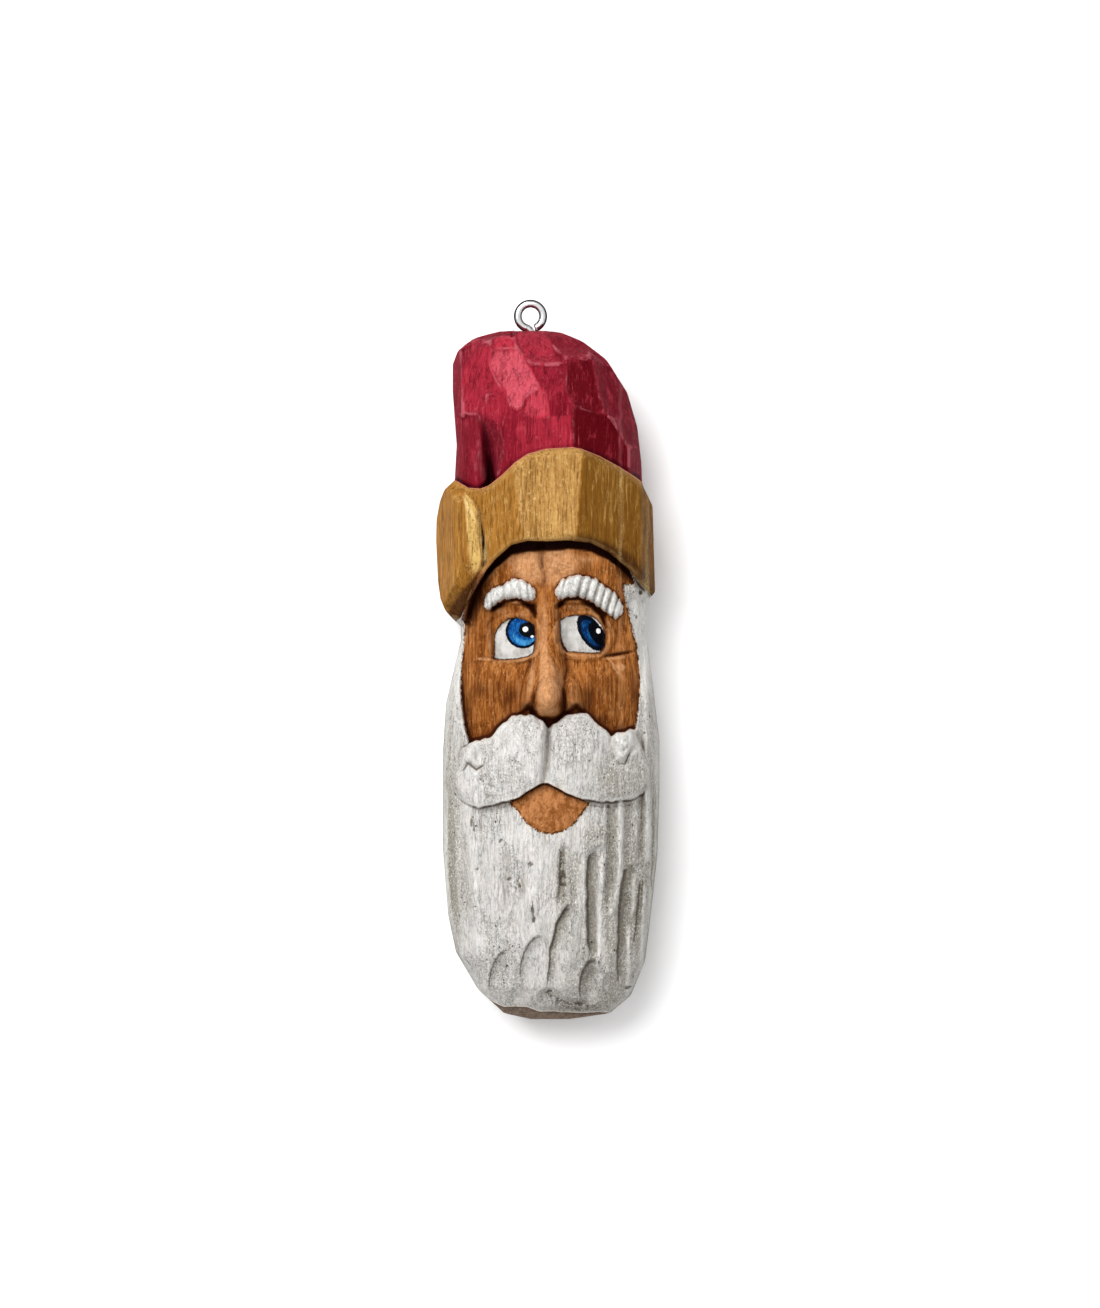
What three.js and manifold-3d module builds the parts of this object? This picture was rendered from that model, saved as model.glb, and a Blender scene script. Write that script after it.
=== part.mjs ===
// Whittled and painted santa ornament, lying on its flat back, with a steel screw eye in its hat.
// Millimetres. +Z points up from the table, +Y towards the hat, +X to the right of the face.
// The origin is on the table, under the middle of the whole ornament.

import * as THREE from 'three';
import { mergeVertices } from 'three/addons/utils/BufferGeometryUtils.js';
import Module from 'manifold-3d';

// Driving dimensions of the carving
const FIGURE_LENGTH = 103.2;      // beard end to hat top
const BACK_CHAMFER = 2.6;         // how far the flat back stops short of the outline
const CHAMFER_RISE = 2.1;         // height at which that chamfer starts

// Driving dimensions of the screw eye
const EYE_OUTSIDE = 5.0;          // outside diameter of the ring
const WIRE = 1.2;                 // diameter of its wire
const SHANK_LENGTH = 6.5;         // straight shank, from the ring's foot to its point
const SHANK_CLEARANCE = 0.3;      // between the shank and its hole, all round and at the end
const RING_STANDOFF = 0.3;        // between the ring and the wood under it
const MOUTH = 0.25;               // gap between the wire's cut end and the shank

// Fineness of the carving's faces
const FRONT_COLUMNS = 38;
const ROWS = { beard: 20, moustache: 10, face: 38, cuff: 5, hat: 16 };
const EDGE_CROWDING = 0.7;        // how much closer the columns lie towards the outline
const ROW_CROWDING = 1.5;         // how much closer the rows lie at both ends

// The carving is drawn on a sheet DRAWN_LENGTH units long: u runs right from the middle line and
// v runs up from the beard's end. Heights above the flat back are in the same units.
const DRAWN_LENGTH = 688;
const UNIT = FIGURE_LENGTH / DRAWN_LENGTH;

// Outline, as [v, u] at the corners that the knife left
const LEFT_OUTLINE = [
  [0, -17], [6, -44], [30, -70], [67, -92], [105, -100], [169, -105], [269, -105], [316, -102],
  [359, -92], [379, -87], [393, -87], [400, -93], [430, -107], [479, -111.5], [499, -110],
  [526, -102], [537, -91], [573, -91], [627, -95], [655, -95], [668, -90], [681, -74], [688, -48],
];
const RIGHT_OUTLINE = [
  [0, 22], [6, 62], [24, 83], [58, 97], [109, 103.5], [165, 109.5], [229, 111.5], [279, 111.5],
  [337, 104.5], [379, 99], [417, 99], [427, 106.5], [479, 105], [512, 104], [532, 94], [556, 93],
  [591, 89], [625, 79], [658, 58], [676, 34], [686, 12], [688, -3],
];

// Lines that cross the carving from side to side, as [u, v]
const MOUSTACHE_BOTTOM = [
  [-108, 243], [-98, 231], [-91, 224], [-70, 213], [-36, 220], [-5, 238], [33, 221], [68, 219],
  [86, 221], [97, 227], [108, 243],
];
const MOUSTACHE_TOP = [
  [-108, 257], [-93, 263], [-78, 278], [-58, 281], [-35, 305], [-14, 305], [1, 292], [21, 306],
  [39, 306], [63, 284], [86, 291], [94, 279], [102, 264], [108, 257],
];
const CUFF_BOTTOM = [
  [-118, 379], [-78, 419], [-61, 448], [-36, 473], [-20, 477], [42, 475], [60, 466], [79, 450],
  [104, 422], [112, 416],
];
const CUFF_TOP = [
  [-118, 545], [-91, 537], [-79, 530], [-67, 529], [-48, 540], [-32, 555], [-2, 568], [33, 568],
  [70, 551], [94, 535], [112, 519],
];
const TASSEL_TOP = [[-118, 553], [-60, 518]];
const TASSEL_BOTTOM = 400;
const LIP_BOTTOM = [[-34, 218], [-17, 196], [-7, 188], [17, 189], [33, 207], [41, 217]];

const MOUSTACHE_ENDS = [-98, 103];
const LIP_ENDS = [-38, 44];

// Lines that run up the carving, as [v, u]
const FACE_LEFT = [[278, -78], [291, -82], [331, -86], [378, -83], [411, -79], [433, -72], [448, -61]];
const FACE_RIGHT = [[290, 86], [321, 91], [359, 90], [388, 84], [421, 76], [461, 66]];
const TASSEL_RIGHT = [
  [400, -87], [411, -82], [445, -68], [454, -61], [472, -62], [505, -67], [518, -72], [526, -81],
  [535, -86],
];

// Heights of the middle line above the back, as [v, height]
const BEARD_DEPTH = [
  [0, 57], [3, 70], [15, 97], [34, 115], [64, 129], [119, 140], [179, 144], [239, 143], [299, 132],
  [479, 126],
];
const FACE_DEPTH = [[274, 124], [299, 131], [339, 131], [362, 127], [399, 127], [434, 135], [479, 124]];

// Height at which the outline is widest, and how square each part's cross-section is
const SIDE_HEIGHT = 53;
const FULLNESS = { beard: 2.7, moustache: 2.5, face: 2.25, hat: 2.2 };

// Shapers

const clamp = (value, low, high) => Math.min(Math.max(value, low), high);
const mix = (a, b, share) => a + (b - a) * share;

function ramp(from, to, value) {
  const share = clamp((value - from) / (to - from), 0, 1);
  return share * share * (3 - 2 * share);
}

// Straight runs between the knots of a line
function along(knots, at) {
  const last = knots.length - 1;
  if (at <= knots[0][0]) return knots[0][1];
  if (at >= knots[last][0]) return knots[last][1];
  const next = knots.findIndex((knot) => knot[0] > at);
  const [from, start] = knots[next - 1];
  const [to, end] = knots[next];
  return mix(start, end, (at - from) / (to - from));
}

// Cross-section of a rounded stick: 1 in the middle, 0 at its sides
function dome(across, fullness) {
  const share = clamp(Math.abs(across), 0, 1);
  return (1 - share ** fullness) ** (1 / fullness);
}

// Soft swelling with its top at (cu, cv)
function swell(u, v, [cu, cv, wide, tall, height]) {
  return height * Math.exp(-(((u - cu) / wide) ** 2) - ((v - cv) / tall) ** 2);
}

// Blunt lump with a clear edge, turned by an angle in degrees
function lump(u, v, [cu, cv, wide, tall, height, turn = 0, blunt = 2.4]) {
  const angle = THREE.MathUtils.degToRad(turn);
  const right = ((u - cu) * Math.cos(angle) + (v - cv) * Math.sin(angle)) / wide;
  const up = ((v - cv) * Math.cos(angle) - (u - cu) * Math.sin(angle)) / tall;
  const reach = Math.hypot(right, up);
  return reach < 1 ? height * (1 - reach ** blunt) ** (1 / blunt) : 0;
}

// Nearest place on a path of [u, v, strength] points: distance, strength and length so far
function nearest(u, v, path) {
  const found = { gap: Infinity, strength: 0, length: 0 };
  let before = 0;
  for (let i = 1; i < path.length; i++) {
    const [u0, v0, s0 = 1] = path[i - 1];
    const [u1, v1, s1 = 1] = path[i];
    const span = Math.hypot(u1 - u0, v1 - v0);
    const share = clamp(((u - u0) * (u1 - u0) + (v - v0) * (v1 - v0)) / span ** 2, 0, 1);
    const gap = Math.hypot(u - mix(u0, u1, share), v - mix(v0, v1, share));
    if (gap < found.gap) {
      found.gap = gap;
      found.strength = mix(s0, s1, share);
      found.length = before + share * span;
    }
    before += span;
  }
  return found;
}

// Cut of a V tool, or of a round gouge where hollow is 2, along a path
function groove(u, v, { path, half, depth, hollow = 1 }) {
  const { gap, strength } = nearest(u, v, path);
  const width = half * (0.4 + 0.6 * strength);
  return gap < width ? depth * strength * (1 - (gap / width) ** hollow) : 0;
}

// Lowest of several knife cuts, each a plane [u, v, height, slope along u, slope along v]
function planes(u, v, cuts) {
  return Math.min(...cuts.map(([cu, cv, height, du, dv]) => height + du * (u - cu) + dv * (v - cv)));
}

// Position across the outline, -1 at its left and 1 at its right
function across(u, v) {
  const left = along(LEFT_OUTLINE, v);
  const right = along(RIGHT_OUTLINE, v);
  return (2 * u - left - right) / (right - left);
}

// Hat: a dome that knife facets touch, each at [u, v] and tipped a little more by [du, dv]

const HAT_TOP_HEIGHT = 100;
const HAT_TOP_FALL = 0.1;         // slope of the hat's top down towards the back
const HAT_FOOT = 532;
const HAT_SHOULDER = 589;
const HAT_DEPTH = 88;             // from the widest line up to the middle of the dome
const DOME_PAST_SIDES = 2.5;      // how far the dome's curve runs on past the outline
const DOME_PAST_TOP = 9;
const HAT_LEAN = { fromU: 12, acrossU: 82, fromV: 579, upV: 100, drop: 40 };
const HAT_FACETS = [
  [-78, 647, 0, 0], [-90, 619, 0, 0], [-72, 579, 0.05, 0], [-85, 564, 0, 0],
  [-40, 641, 0.10, -0.10], [-58, 678, 0, 0], [-3, 679, 0, 0], [8, 653, -0.02, -0.05],
  [35, 667, 0, 0], [58, 647, 0, 0], [35, 631, -0.12, 0.06], [64, 621, 0, 0], [80, 594, 0, 0],
  [0, 611, 0.02, 0], [40, 583, -0.10, 0.05], [-28, 589, 0.05, 0.03], [8, 583, 0.08, 0.02],
  [85, 554, 0, 0], [64, 564, -0.03, 0.02],
];
const FOLD = { top: 602, run: 54, depth: 35, leftBend: 1.8, rightBend: 0.9 };
const FOLD_VALLEY = [[529, -56], [549, -58], [564, -61], [583, -64], [602, -68]];
const FOLD_LEFT = [[529, -73], [569, -73], [589, -72], [602, -69]];
const FOLD_RIGHT = [[529, -51], [554, -48], [573, -44], [583, -46], [593, -51], [602, -66]];

const hatKnots = (outline) => outline.filter((knot) => knot[0] >= HAT_FOOT).map((knot) => knot[1]);
const hatLeft = Math.min(...hatKnots(LEFT_OUTLINE));
const hatRight = Math.max(...hatKnots(RIGHT_OUTLINE));
const domeMiddle = (hatLeft + hatRight) / 2;
const domeHalf = (hatRight - hatLeft) / 2 + DOME_PAST_SIDES;
const domeRise = DRAWN_LENGTH - HAT_SHOULDER + DOME_PAST_TOP;

function hatDome(u, v) {
  const side = dome((u - domeMiddle) / domeHalf, FULLNESS.hat);
  const rise = dome(Math.max(v - HAT_SHOULDER, 0) / domeRise, FULLNESS.hat);
  const leanRight = clamp((u - HAT_LEAN.fromU) / HAT_LEAN.acrossU, 0, 1) ** 2;
  const leanUp = Math.max((v - HAT_LEAN.fromV) / HAT_LEAN.upV, 0);
  return SIDE_HEIGHT + HAT_DEPTH * side * rise - HAT_LEAN.drop * leanRight * leanUp;
}

const hatCuts = HAT_FACETS.map(([u, v, tipU, tipV]) => {
  const du = (hatDome(u + 1, v) - hatDome(u - 1, v)) / 2 + tipU;
  const dv = (hatDome(u, v + 1) - hatDome(u, v - 1)) / 2 + tipV;
  return [u, v, hatDome(u, v), du, dv];
});

// Deep fold between the crown and the hat's end, which hangs down at the left
function fold(u, v) {
  const sunk = FOLD.depth * ramp(0, FOLD.run, FOLD.top - v);
  const valley = along(FOLD_VALLEY, v);
  const left = along(FOLD_LEFT, v);
  const right = along(FOLD_RIGHT, v);
  if (u < left || u > right) return 0;
  return u < valley
    ? sunk * ((u - left) / (valley - left)) ** FOLD.leftBend
    : sunk * ((right - u) / (right - valley)) ** FOLD.rightBend;
}

const hat = (u, v) => planes(u, v, hatCuts) - fold(u, v);

// Cuff of the hat, cut back a little along both its edges

const CUFF_CUTS = [
  [0, 519, 159, 0, -0.05], [31, 519, 159, -0.40, -0.02], [70, 499, 143, -0.56, 0],
  [92, 479, 131, -2.4, 0], [-30, 509, 159, 0.30, 0], [-48, 479, 153, 0.42, 0.06],
  [-61, 519, 147, 0.7, 0],
];

const CUFF_EASING = { depth: 6.5, reach: 8.5 };

const eased = (inwards) => CUFF_EASING.depth * clamp(1 - inwards / CUFF_EASING.reach, 0, 1) ** 2;

function cuff(u, v) {
  const underTop = along(CUFF_TOP, u) - v;
  const overBottom = v - along(CUFF_BOTTOM, u);
  return planes(u, v, CUFF_CUTS) - eased(underTop) - eased(overBottom);
}

// Tassel at the end of the hat

const TASSEL_CUTS = [
  [-98, 469, 119, 0.95, 0.02], [-107, 469, 90, 2.0, 0.02], [-75, 479, 143, -0.10, 0.03],
  [-65, 479, 140, -1.2, 0.03], [-82, 527, 135, 0.25, -0.55], [-93, 532, 117, 0.6, -0.9],
  [-82, 434, 130, 0.2, 0.45], [-92, 413, 105, 0.5, 1.1],
];

const tassel = (u, v) => planes(u, v, TASSEL_CUTS);

// Nose, as heights over the face: [v, height], [v, half width] and its rounded lumps

const NOSE_HEIGHT = [
  [292, 1], [299, 17], [305, 31], [313, 40], [324, 41], [339, 35], [359, 24], [379, 16], [401, 11],
  [419, 1],
];
const NOSE_WIDTH = [
  [291, 3], [297, 8], [307, 15], [319, 20], [334, 21], [349, 20], [362, 18], [379, 14], [399, 11],
  [419, 9],
];
const NOSE_LUMPS = [[0, 322, 19, 22, 46], [-23, 321, 9.5, 12, 19, -12], [31, 322, 10, 16, 21, 10]];

function nose(u, v) {
  const side = Math.abs(u) / along(NOSE_WIDTH, v);
  const bridge = along(NOSE_HEIGHT, v) * (1 - clamp(side, 0, 1) ** 2);
  return Math.max(bridge, ...NOSE_LUMPS.map((shape) => lump(u, v, shape)));
}

// Eyes: balls between two lids, in hollows that end square on the cheeks

const EYES = [
  {
    left: -54, right: -12, under: 361, hollowTop: 416, ball: [-33, 381, 28, 24, 7],
    lid: [[-54, 389], [-43, 398], [-26, 400], [-14, 392], [-11, 388]],
    crease: [[-60, 397], [-55, 410], [-45, 416], [-35, 418], [-17, 411], [-11, 402]],
  },
  {
    left: 12, right: 59, under: 364, hollowTop: 417, ball: [35, 383, 30, 24, 7],
    lid: [[11, 399], [20, 402], [41, 402], [48, 399], [54, 392], [59, 379]],
    crease: [[10, 410], [15, 416], [25, 420], [39, 418], [48, 413], [55, 404], [59, 391]],
  },
];

const HOLLOW_DEPTH = 13;
const HOLLOW_SLOPE = 4;
const LID = { edge: 4, swell: 2.4, reach: 6 };

function hollow(u, v, eye) {
  const pastLeft = ramp(-HOLLOW_SLOPE, HOLLOW_SLOPE, u - eye.left);
  const beforeRight = ramp(-HOLLOW_SLOPE, HOLLOW_SLOPE, eye.right - u);
  const overCheek = ramp(-1, 2, v - eye.under);
  const underBrow = ramp(-HOLLOW_SLOPE, 1, eye.hollowTop - v);
  return HOLLOW_DEPTH * pastLeft * beforeRight * overCheek * underBrow;
}

function eyelid(u, v, eye) {
  const over = v - along(eye.lid, u);
  const under = along(eye.crease, u) - v;
  const covered = u > eye.left - HOLLOW_SLOPE && u < eye.right + 1 && over > 0 && under > 0;
  return covered ? LID.edge + LID.swell * ramp(0, LID.reach, Math.min(over, under)) : 0;
}

// Brows: two padded arches with notches across them, as paths of [u, v]

const BROWS = [
  {
    half: 10, height: 13,
    path: [[-60, 412], [-58, 420], [-51, 426], [-42, 430], [-30, 431], [-21, 428], [-16, 422]],
  },
  {
    half: 10.5, height: 15,
    path: [[8, 425], [15, 430], [24, 432], [35, 432], [46, 429], [55, 422], [62, 413], [67, 407]],
  },
];
const NOTCH_SPACING = 8.5;
const NOTCH_DEPTH = 3;

function brow(u, v, { half, height, path }) {
  const { gap, length } = nearest(u, v, path);
  if (gap >= half) return 0;
  const notch = Math.abs(Math.sin((length / NOTCH_SPACING) * Math.PI));
  return (height - NOTCH_DEPTH * (1 - notch)) * dome(gap / half, 2.5);
}

// Face

const FACE_MIDDLE = 6.5;
const FACE_HALF = 100;
const FACE_SWELLS = [
  [-26, 451, 18, 16, 3.5], [26, 453, 20, 16, 4], [-52, 329, 26, 30, 5], [58, 331, 26, 30, 5],
];
const FACE_GROOVES = [
  { path: [[-3, 471, 1], [-2, 444, 0.9], [-1, 425, 0.3]], half: 8, depth: 8 },
  {
    path: [[-59, 401, 0.4], [-56, 410, 0.8], [-35, 420, 1], [-16, 411, 1], [-11, 403, 0.7]],
    half: 4, depth: 8,
  },
  {
    path: [[10, 409, 0.8], [25, 421, 1], [39, 419, 1], [56, 405, 0.8], [59, 391, 0.4]],
    half: 4, depth: 8.5,
  },
  { path: [[-29, 316, 0.3], [-24, 310, 1], [-12, 304, 0.6]], half: 5.5, depth: 13 },
  { path: [[40, 313, 0.3], [35, 307, 0.7], [24, 306, 1], [18, 303, 0.8]], half: 5.5, depth: 13 },
  { path: [[35, 339, 0.5], [41, 329, 1], [42, 315, 0.8]], half: 4, depth: 6 },
  { path: [[59, 363, 0.6], [80, 366, 0.4]], half: 3.5, depth: 4 },
];

function face(u, v) {
  const side = dome((u - FACE_MIDDLE) / FACE_HALF, FULLNESS.face);
  let height = SIDE_HEIGHT + (along(FACE_DEPTH, v) - SIDE_HEIGHT) * side;
  for (const shape of FACE_SWELLS) height += swell(u, v, shape);
  const arch = Math.max(...BROWS.map((shape) => brow(u, v, shape)));
  if (arch > 0) return height + arch;
  for (const eye of EYES) height += lump(u, v, eye.ball) + eyelid(u, v, eye) - hollow(u, v, eye);
  for (const cut of FACE_GROOVES) height -= groove(u, v, cut);
  return height + nose(u, v);
}

// Moustache and the lip under it

const MOUSTACHE_SWELLS = [[-26, 254, 28, 30, 4], [29, 251, 26, 28, 4.5], [81, 269, 8, 11, 5]];
const MOUSTACHE_GROOVES = [
  { path: [[1, 291, 1], [-1, 259, 1], [-2, 239, 0.8]], half: 6, depth: 9 },
  { path: [[92, 272, 0.4], [86, 270, 1], [81, 262, 1], [76, 256, 1], [70, 261, 0.6]], half: 4.5, depth: 6 },
];

const MOUSTACHE_DEPTH = 91;
const MOUSTACHE_ROLL = 13;
const MOUSTACHE_CREST = 0.45;     // how far up the moustache its roll is highest

function moustache(u, v) {
  const bottom = along(MOUSTACHE_BOTTOM, u);
  const share = clamp((v - bottom) / (along(MOUSTACHE_TOP, u) - bottom), 0, 1);
  const fromCrest = (share - MOUSTACHE_CREST) / (1 - MOUSTACHE_CREST);
  const side = dome(across(u, v), FULLNESS.moustache);
  let height = SIDE_HEIGHT + MOUSTACHE_DEPTH * side + MOUSTACHE_ROLL * dome(fromCrest, 3);
  for (const shape of MOUSTACHE_SWELLS) height += swell(u, v, shape);
  for (const cut of MOUSTACHE_GROOVES) height -= groove(u, v, cut);
  return height;
}

// Beard, with the gouge's flutes and scoops

const FLUTES = [
  { path: [[40, 176, 0.4], [44, 150, 1], [44, 115, 1], [46, 75, 0.8], [46, 58, 0.3]], half: 12, depth: 13 },
  { path: [[62, 212, 0.4], [66, 180, 1], [66, 140, 0.9], [64, 112, 0.3]], half: 11, depth: 10 },
  { path: [[83, 158, 0.3], [79, 135, 1], [75, 100, 1], [77, 60, 0.8], [74, 30, 0.3]], half: 12, depth: 10 },
  { path: [[98, 225, 0.6], [99, 190, 1], [98, 160, 0.4]], half: 9, depth: 8 },
  { path: [[95, 150, 0.4], [94, 110, 1], [90, 50, 0.7]], half: 8, depth: 5 },
  { path: [[14, 170, 0.5], [15, 140, 0.9], [12, 108, 1], [6, 76, 0.9], [-2, 48, 0.4]], half: 11, depth: 7 },
  { path: [[44, 60, 0.5], [42, 38, 1], [38, 16, 0.6]], half: 13, depth: 10 },
  { path: [[-6, 83, 0.5], [-16, 72, 1], [-22, 50, 1], [-22, 28, 0.4]], half: 12, depth: 6 },
  { path: [[-40, 70, 0.5], [-48, 56, 1], [-50, 36, 1], [-50, 18, 0.4]], half: 12, depth: 5.5 },
  { path: [[-30, 140, 0.5], [-28, 115, 1], [-30, 92, 0.5]], half: 13, depth: 3.5 },
  { path: [[-52, 172, 0.5], [-50, 130, 1], [-51, 80, 0.6]], half: 10, depth: 3 },
  { path: [[-74, 190, 0.5], [-72, 130, 1], [-68, 60, 0.6]], half: 10, depth: 3.5 },
  { path: [[-92, 200, 0.5], [-90, 130, 1], [-84, 80, 0.6]], half: 9, depth: 4 },
  { path: [[0, 22, 0.6], [12, 15, 1], [28, 10, 0.6]], half: 9, depth: 6 },
].map((flute) => ({ ...flute, hollow: 1.5 }));

function beard(u, v) {
  const deepest = Math.max(...FLUTES.map((flute) => groove(u, v, flute)));
  const depth = along(BEARD_DEPTH, v) - SIDE_HEIGHT;
  return SIDE_HEIGHT + depth * dome(across(u, v), FULLNESS.beard) - deepest;
}

const LIP_LUMP = [3, 214, 46, 32, 11];
const LIP_SUNK = 8;

function lip(u, v) {
  const depth = along(BEARD_DEPTH, v) - SIDE_HEIGHT;
  return SIDE_HEIGHT + depth * dome(across(u, v), FULLNESS.beard) - LIP_SUNK + lump(u, v, LIP_LUMP);
}

// Whole front: each part is let in over the one before it. The steps that cross the carving are
// sharp, and those that run up it are slopes.

const STEP = 1.2;
const SLOPE = 4;
const crossing = (distance) => ramp(-STEP, STEP, distance);
const upright = (distance) => ramp(-SLOPE, SLOPE, distance);
const between = ([left, right], u) => upright(u - left) * upright(right - u);

function frontHeight(u, v) {
  const overMoustache = v - along(MOUSTACHE_TOP, u);
  const underMoustache = along(MOUSTACHE_BOTTOM, u) - v;
  const overCuffBottom = v - along(CUFF_BOTTOM, u);
  const inFaceSides = upright(Math.min(u - along(FACE_LEFT, v), along(FACE_RIGHT, v) - u));
  const inFace = crossing(overMoustache) * inFaceSides;
  const inMoustache = crossing(Math.min(-overMoustache, -underMoustache)) * between(MOUSTACHE_ENDS, u);
  const inLip = crossing(Math.min(underMoustache, v - along(LIP_BOTTOM, u))) * between(LIP_ENDS, u);
  const inTasselEnds = upright(along(TASSEL_TOP, u) - v) * upright(v - TASSEL_BOTTOM);
  const inTassel = upright(along(TASSEL_RIGHT, v) - u) * inTasselEnds;
  let height = beard(u, v);
  height = mix(height, face(u, v), inFace);
  height = mix(height, moustache(u, v), inMoustache);
  height = mix(height, lip(u, v), inLip);
  height = mix(height, cuff(u, v), crossing(overCuffBottom));
  height = mix(height, hat(u, v), crossing(v - along(CUFF_TOP, u)));
  return mix(height, tassel(u, v), inTassel);
}

// Rows of the loft follow the moustache and the cuff, with one row close on each side of a step

const GUIDES = [
  () => 0,
  (u) => along(MOUSTACHE_BOTTOM, u),
  (u) => along(MOUSTACHE_TOP, u),
  (u) => along(CUFF_BOTTOM, u),
  (u) => along(CUFF_TOP, u),
  () => DRAWN_LENGTH,
];

const rows = Object.values(ROWS).flatMap((count, zone) => {
  const under = zone === 0 ? 0 : STEP;
  const over = zone === GUIDES.length - 2 ? 0 : STEP;
  return Array.from({ length: count + 1 }, (_, i) => (u) => {
    const low = GUIDES[zone](u) + under;
    const high = GUIDES[zone + 1](u) - over;
    return mix(low, high, rowShare(zone, i / count));
  });
});

// Rows lie closer together at the beard's end and at the hat's top, where the outline turns in
function rowShare(zone, share) {
  if (zone === 0) return share ** ROW_CROWDING;
  if (zone === GUIDES.length - 2) return 1 - (1 - share) ** ROW_CROWDING;
  return share;
}

// One round of the loft: the front from left to right, the right side, the flat back, the left side

const BACK_POINTS = 3;
const SIDE_POINTS = 4;            // the feet of both side walls and both corners of the flat back
const AROUND = FRONT_COLUMNS + 1 + SIDE_POINTS + BACK_POINTS;
const PASSES = 40;                // to settle where a slanting row meets the outline

// The top of the hat falls away a little towards the back
const FALL_START = 60;
const topFall = (v, height) => {
  const share = ramp(DRAWN_LENGTH - FALL_START, DRAWN_LENGTH, v);
  return share * HAT_TOP_FALL * Math.max(HAT_TOP_HEIGHT - height, 0);
};

function frontSpot(row, share) {
  const place = 0.5 + (0.5 * Math.sin((2 * share - 1) * EDGE_CROWDING)) / Math.sin(EDGE_CROWDING);
  let v = row(0);
  let u = 0;
  for (let pass = 0; pass < PASSES; pass++) {
    u = mix(along(LEFT_OUTLINE, v), along(RIGHT_OUTLINE, v), place);
    v = row(u);
  }
  return { u, v, height: frontHeight(u, v) };
}

function roundSpots(row) {
  const chamfer = BACK_CHAMFER / UNIT;
  const rise = CHAMFER_RISE / UNIT;
  const front = Array.from({ length: FRONT_COLUMNS + 1 }, (_, i) => frontSpot(row, i / FRONT_COLUMNS));
  const left = front[0];
  const right = front[FRONT_COLUMNS];
  const inset = Math.min(chamfer, (right.u - left.u) / 4);
  const side = (edge) => ({ u: edge.u, v: edge.v, height: rise });
  const corner = (edge, inwards) => ({ u: edge.u + inwards * inset, v: edge.v, height: 0 });
  const backRight = corner(right, -1);
  const backLeft = corner(left, 1);
  const back = Array.from({ length: BACK_POINTS }, (_, i) => {
    const share = (i + 1) / (BACK_POINTS + 1);
    return { u: mix(backRight.u, backLeft.u, share), v: mix(right.v, left.v, share), height: 0 };
  });
  return [...front, side(right), backRight, ...back, backLeft, side(left)];
}

const leftmost = Math.min(...LEFT_OUTLINE.map((knot) => knot[1]));
const rightmost = Math.max(...RIGHT_OUTLINE.map((knot) => knot[1]));
const MIDDLE = (leftmost + rightmost) / 2;

// Screw eye, measured up from the beard's end

const SHANK_U = -17.5;
const SHANK_HEIGHT = 60 * UNIT;
const woodTop = FIGURE_LENGTH - HAT_TOP_FALL * (HAT_TOP_HEIGHT * UNIT - SHANK_HEIGHT);
const ringRadius = (EYE_OUTSIDE - WIRE) / 2;
const ringCentre = woodTop + RING_STANDOFF + EYE_OUTSIDE / 2;
const overallLength = ringCentre + EYE_OUTSIDE / 2;

const toX = (u) => (u - MIDDLE) * UNIT;
const toY = (up) => up - overallLength / 2;

// Solids and booleans

const wasm = await Module();
wasm.setup();

function asManifold(geometry) {
  const bare = geometry.clone();
  bare.deleteAttribute('normal');
  bare.deleteAttribute('uv');
  const merged = mergeVertices(bare, 1e-4);
  const vertProperties = new Float32Array(merged.attributes.position.array);
  const triVerts = new Uint32Array(merged.index.array);
  return new wasm.Manifold(new wasm.Mesh({ numProp: 3, vertProperties, triVerts }));
}

function asGeometry(solid) {
  const mesh = solid.getMesh();
  const geometry = new THREE.BufferGeometry();
  geometry.setAttribute('position', new THREE.BufferAttribute(new Float32Array(mesh.vertProperties), 3));
  geometry.setIndex(new THREE.BufferAttribute(new Uint32Array(mesh.triVerts), 1));
  geometry.computeVertexNormals();
  return geometry;
}

// Carved figure: a round stick whose every point is moved out to the carving

function carvedSolid() {
  const stick = new THREE.CylinderGeometry(1, 1, 1, AROUND, rows.length - 1);
  const spotsOf = rows.map(roundSpots);
  const position = stick.attributes.position;
  for (let i = 0; i < position.count; i++) {
    const angle = Math.atan2(position.getX(i), position.getZ(i));
    const turn = Math.round((angle / (2 * Math.PI)) * AROUND + FRONT_COLUMNS / 2);
    const row = Math.round((position.getY(i) + 0.5) * (rows.length - 1));
    const spots = spotsOf[row];
    const onRim = Math.hypot(position.getX(i), position.getZ(i)) > 0.5;
    const spot = onRim ? spots[(turn + AROUND) % AROUND] : middleOf(spots);
    const up = spot.v - topFall(spot.v, spot.height);
    position.setXYZ(i, toX(spot.u), toY(up * UNIT), spot.height * UNIT);
  }
  return asManifold(stick);
}

function middleOf(spots) {
  const front = spots[FRONT_COLUMNS / 2];
  return { u: front.u, v: front.v, height: front.height / 2 };
}

const HOLE_SIDES = 12;

// Pilot hole for the shank, drilled from above the hat's top
function pilotHole() {
  const bottom = ringCentre - ringRadius - SHANK_LENGTH - SHANK_CLEARANCE;
  const radius = WIRE / 2 + SHANK_CLEARANCE;
  const drill = new THREE.CylinderGeometry(radius, radius, ringCentre - bottom, HOLE_SIDES);
  drill.translate(toX(SHANK_U), toY((ringCentre + bottom) / 2), SHANK_HEIGHT);
  return asManifold(drill);
}

// Screw eye: one wire, up out of the wood, left round the ring and back to beside its own neck.
// Turns are measured from the ring's lowest point.

const NECK_TURN = 0.45;
const RING_SPOTS = 24;
const WIRE_STEPS = 42;
const WIRE_HALF_SIDES = 5;

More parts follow.
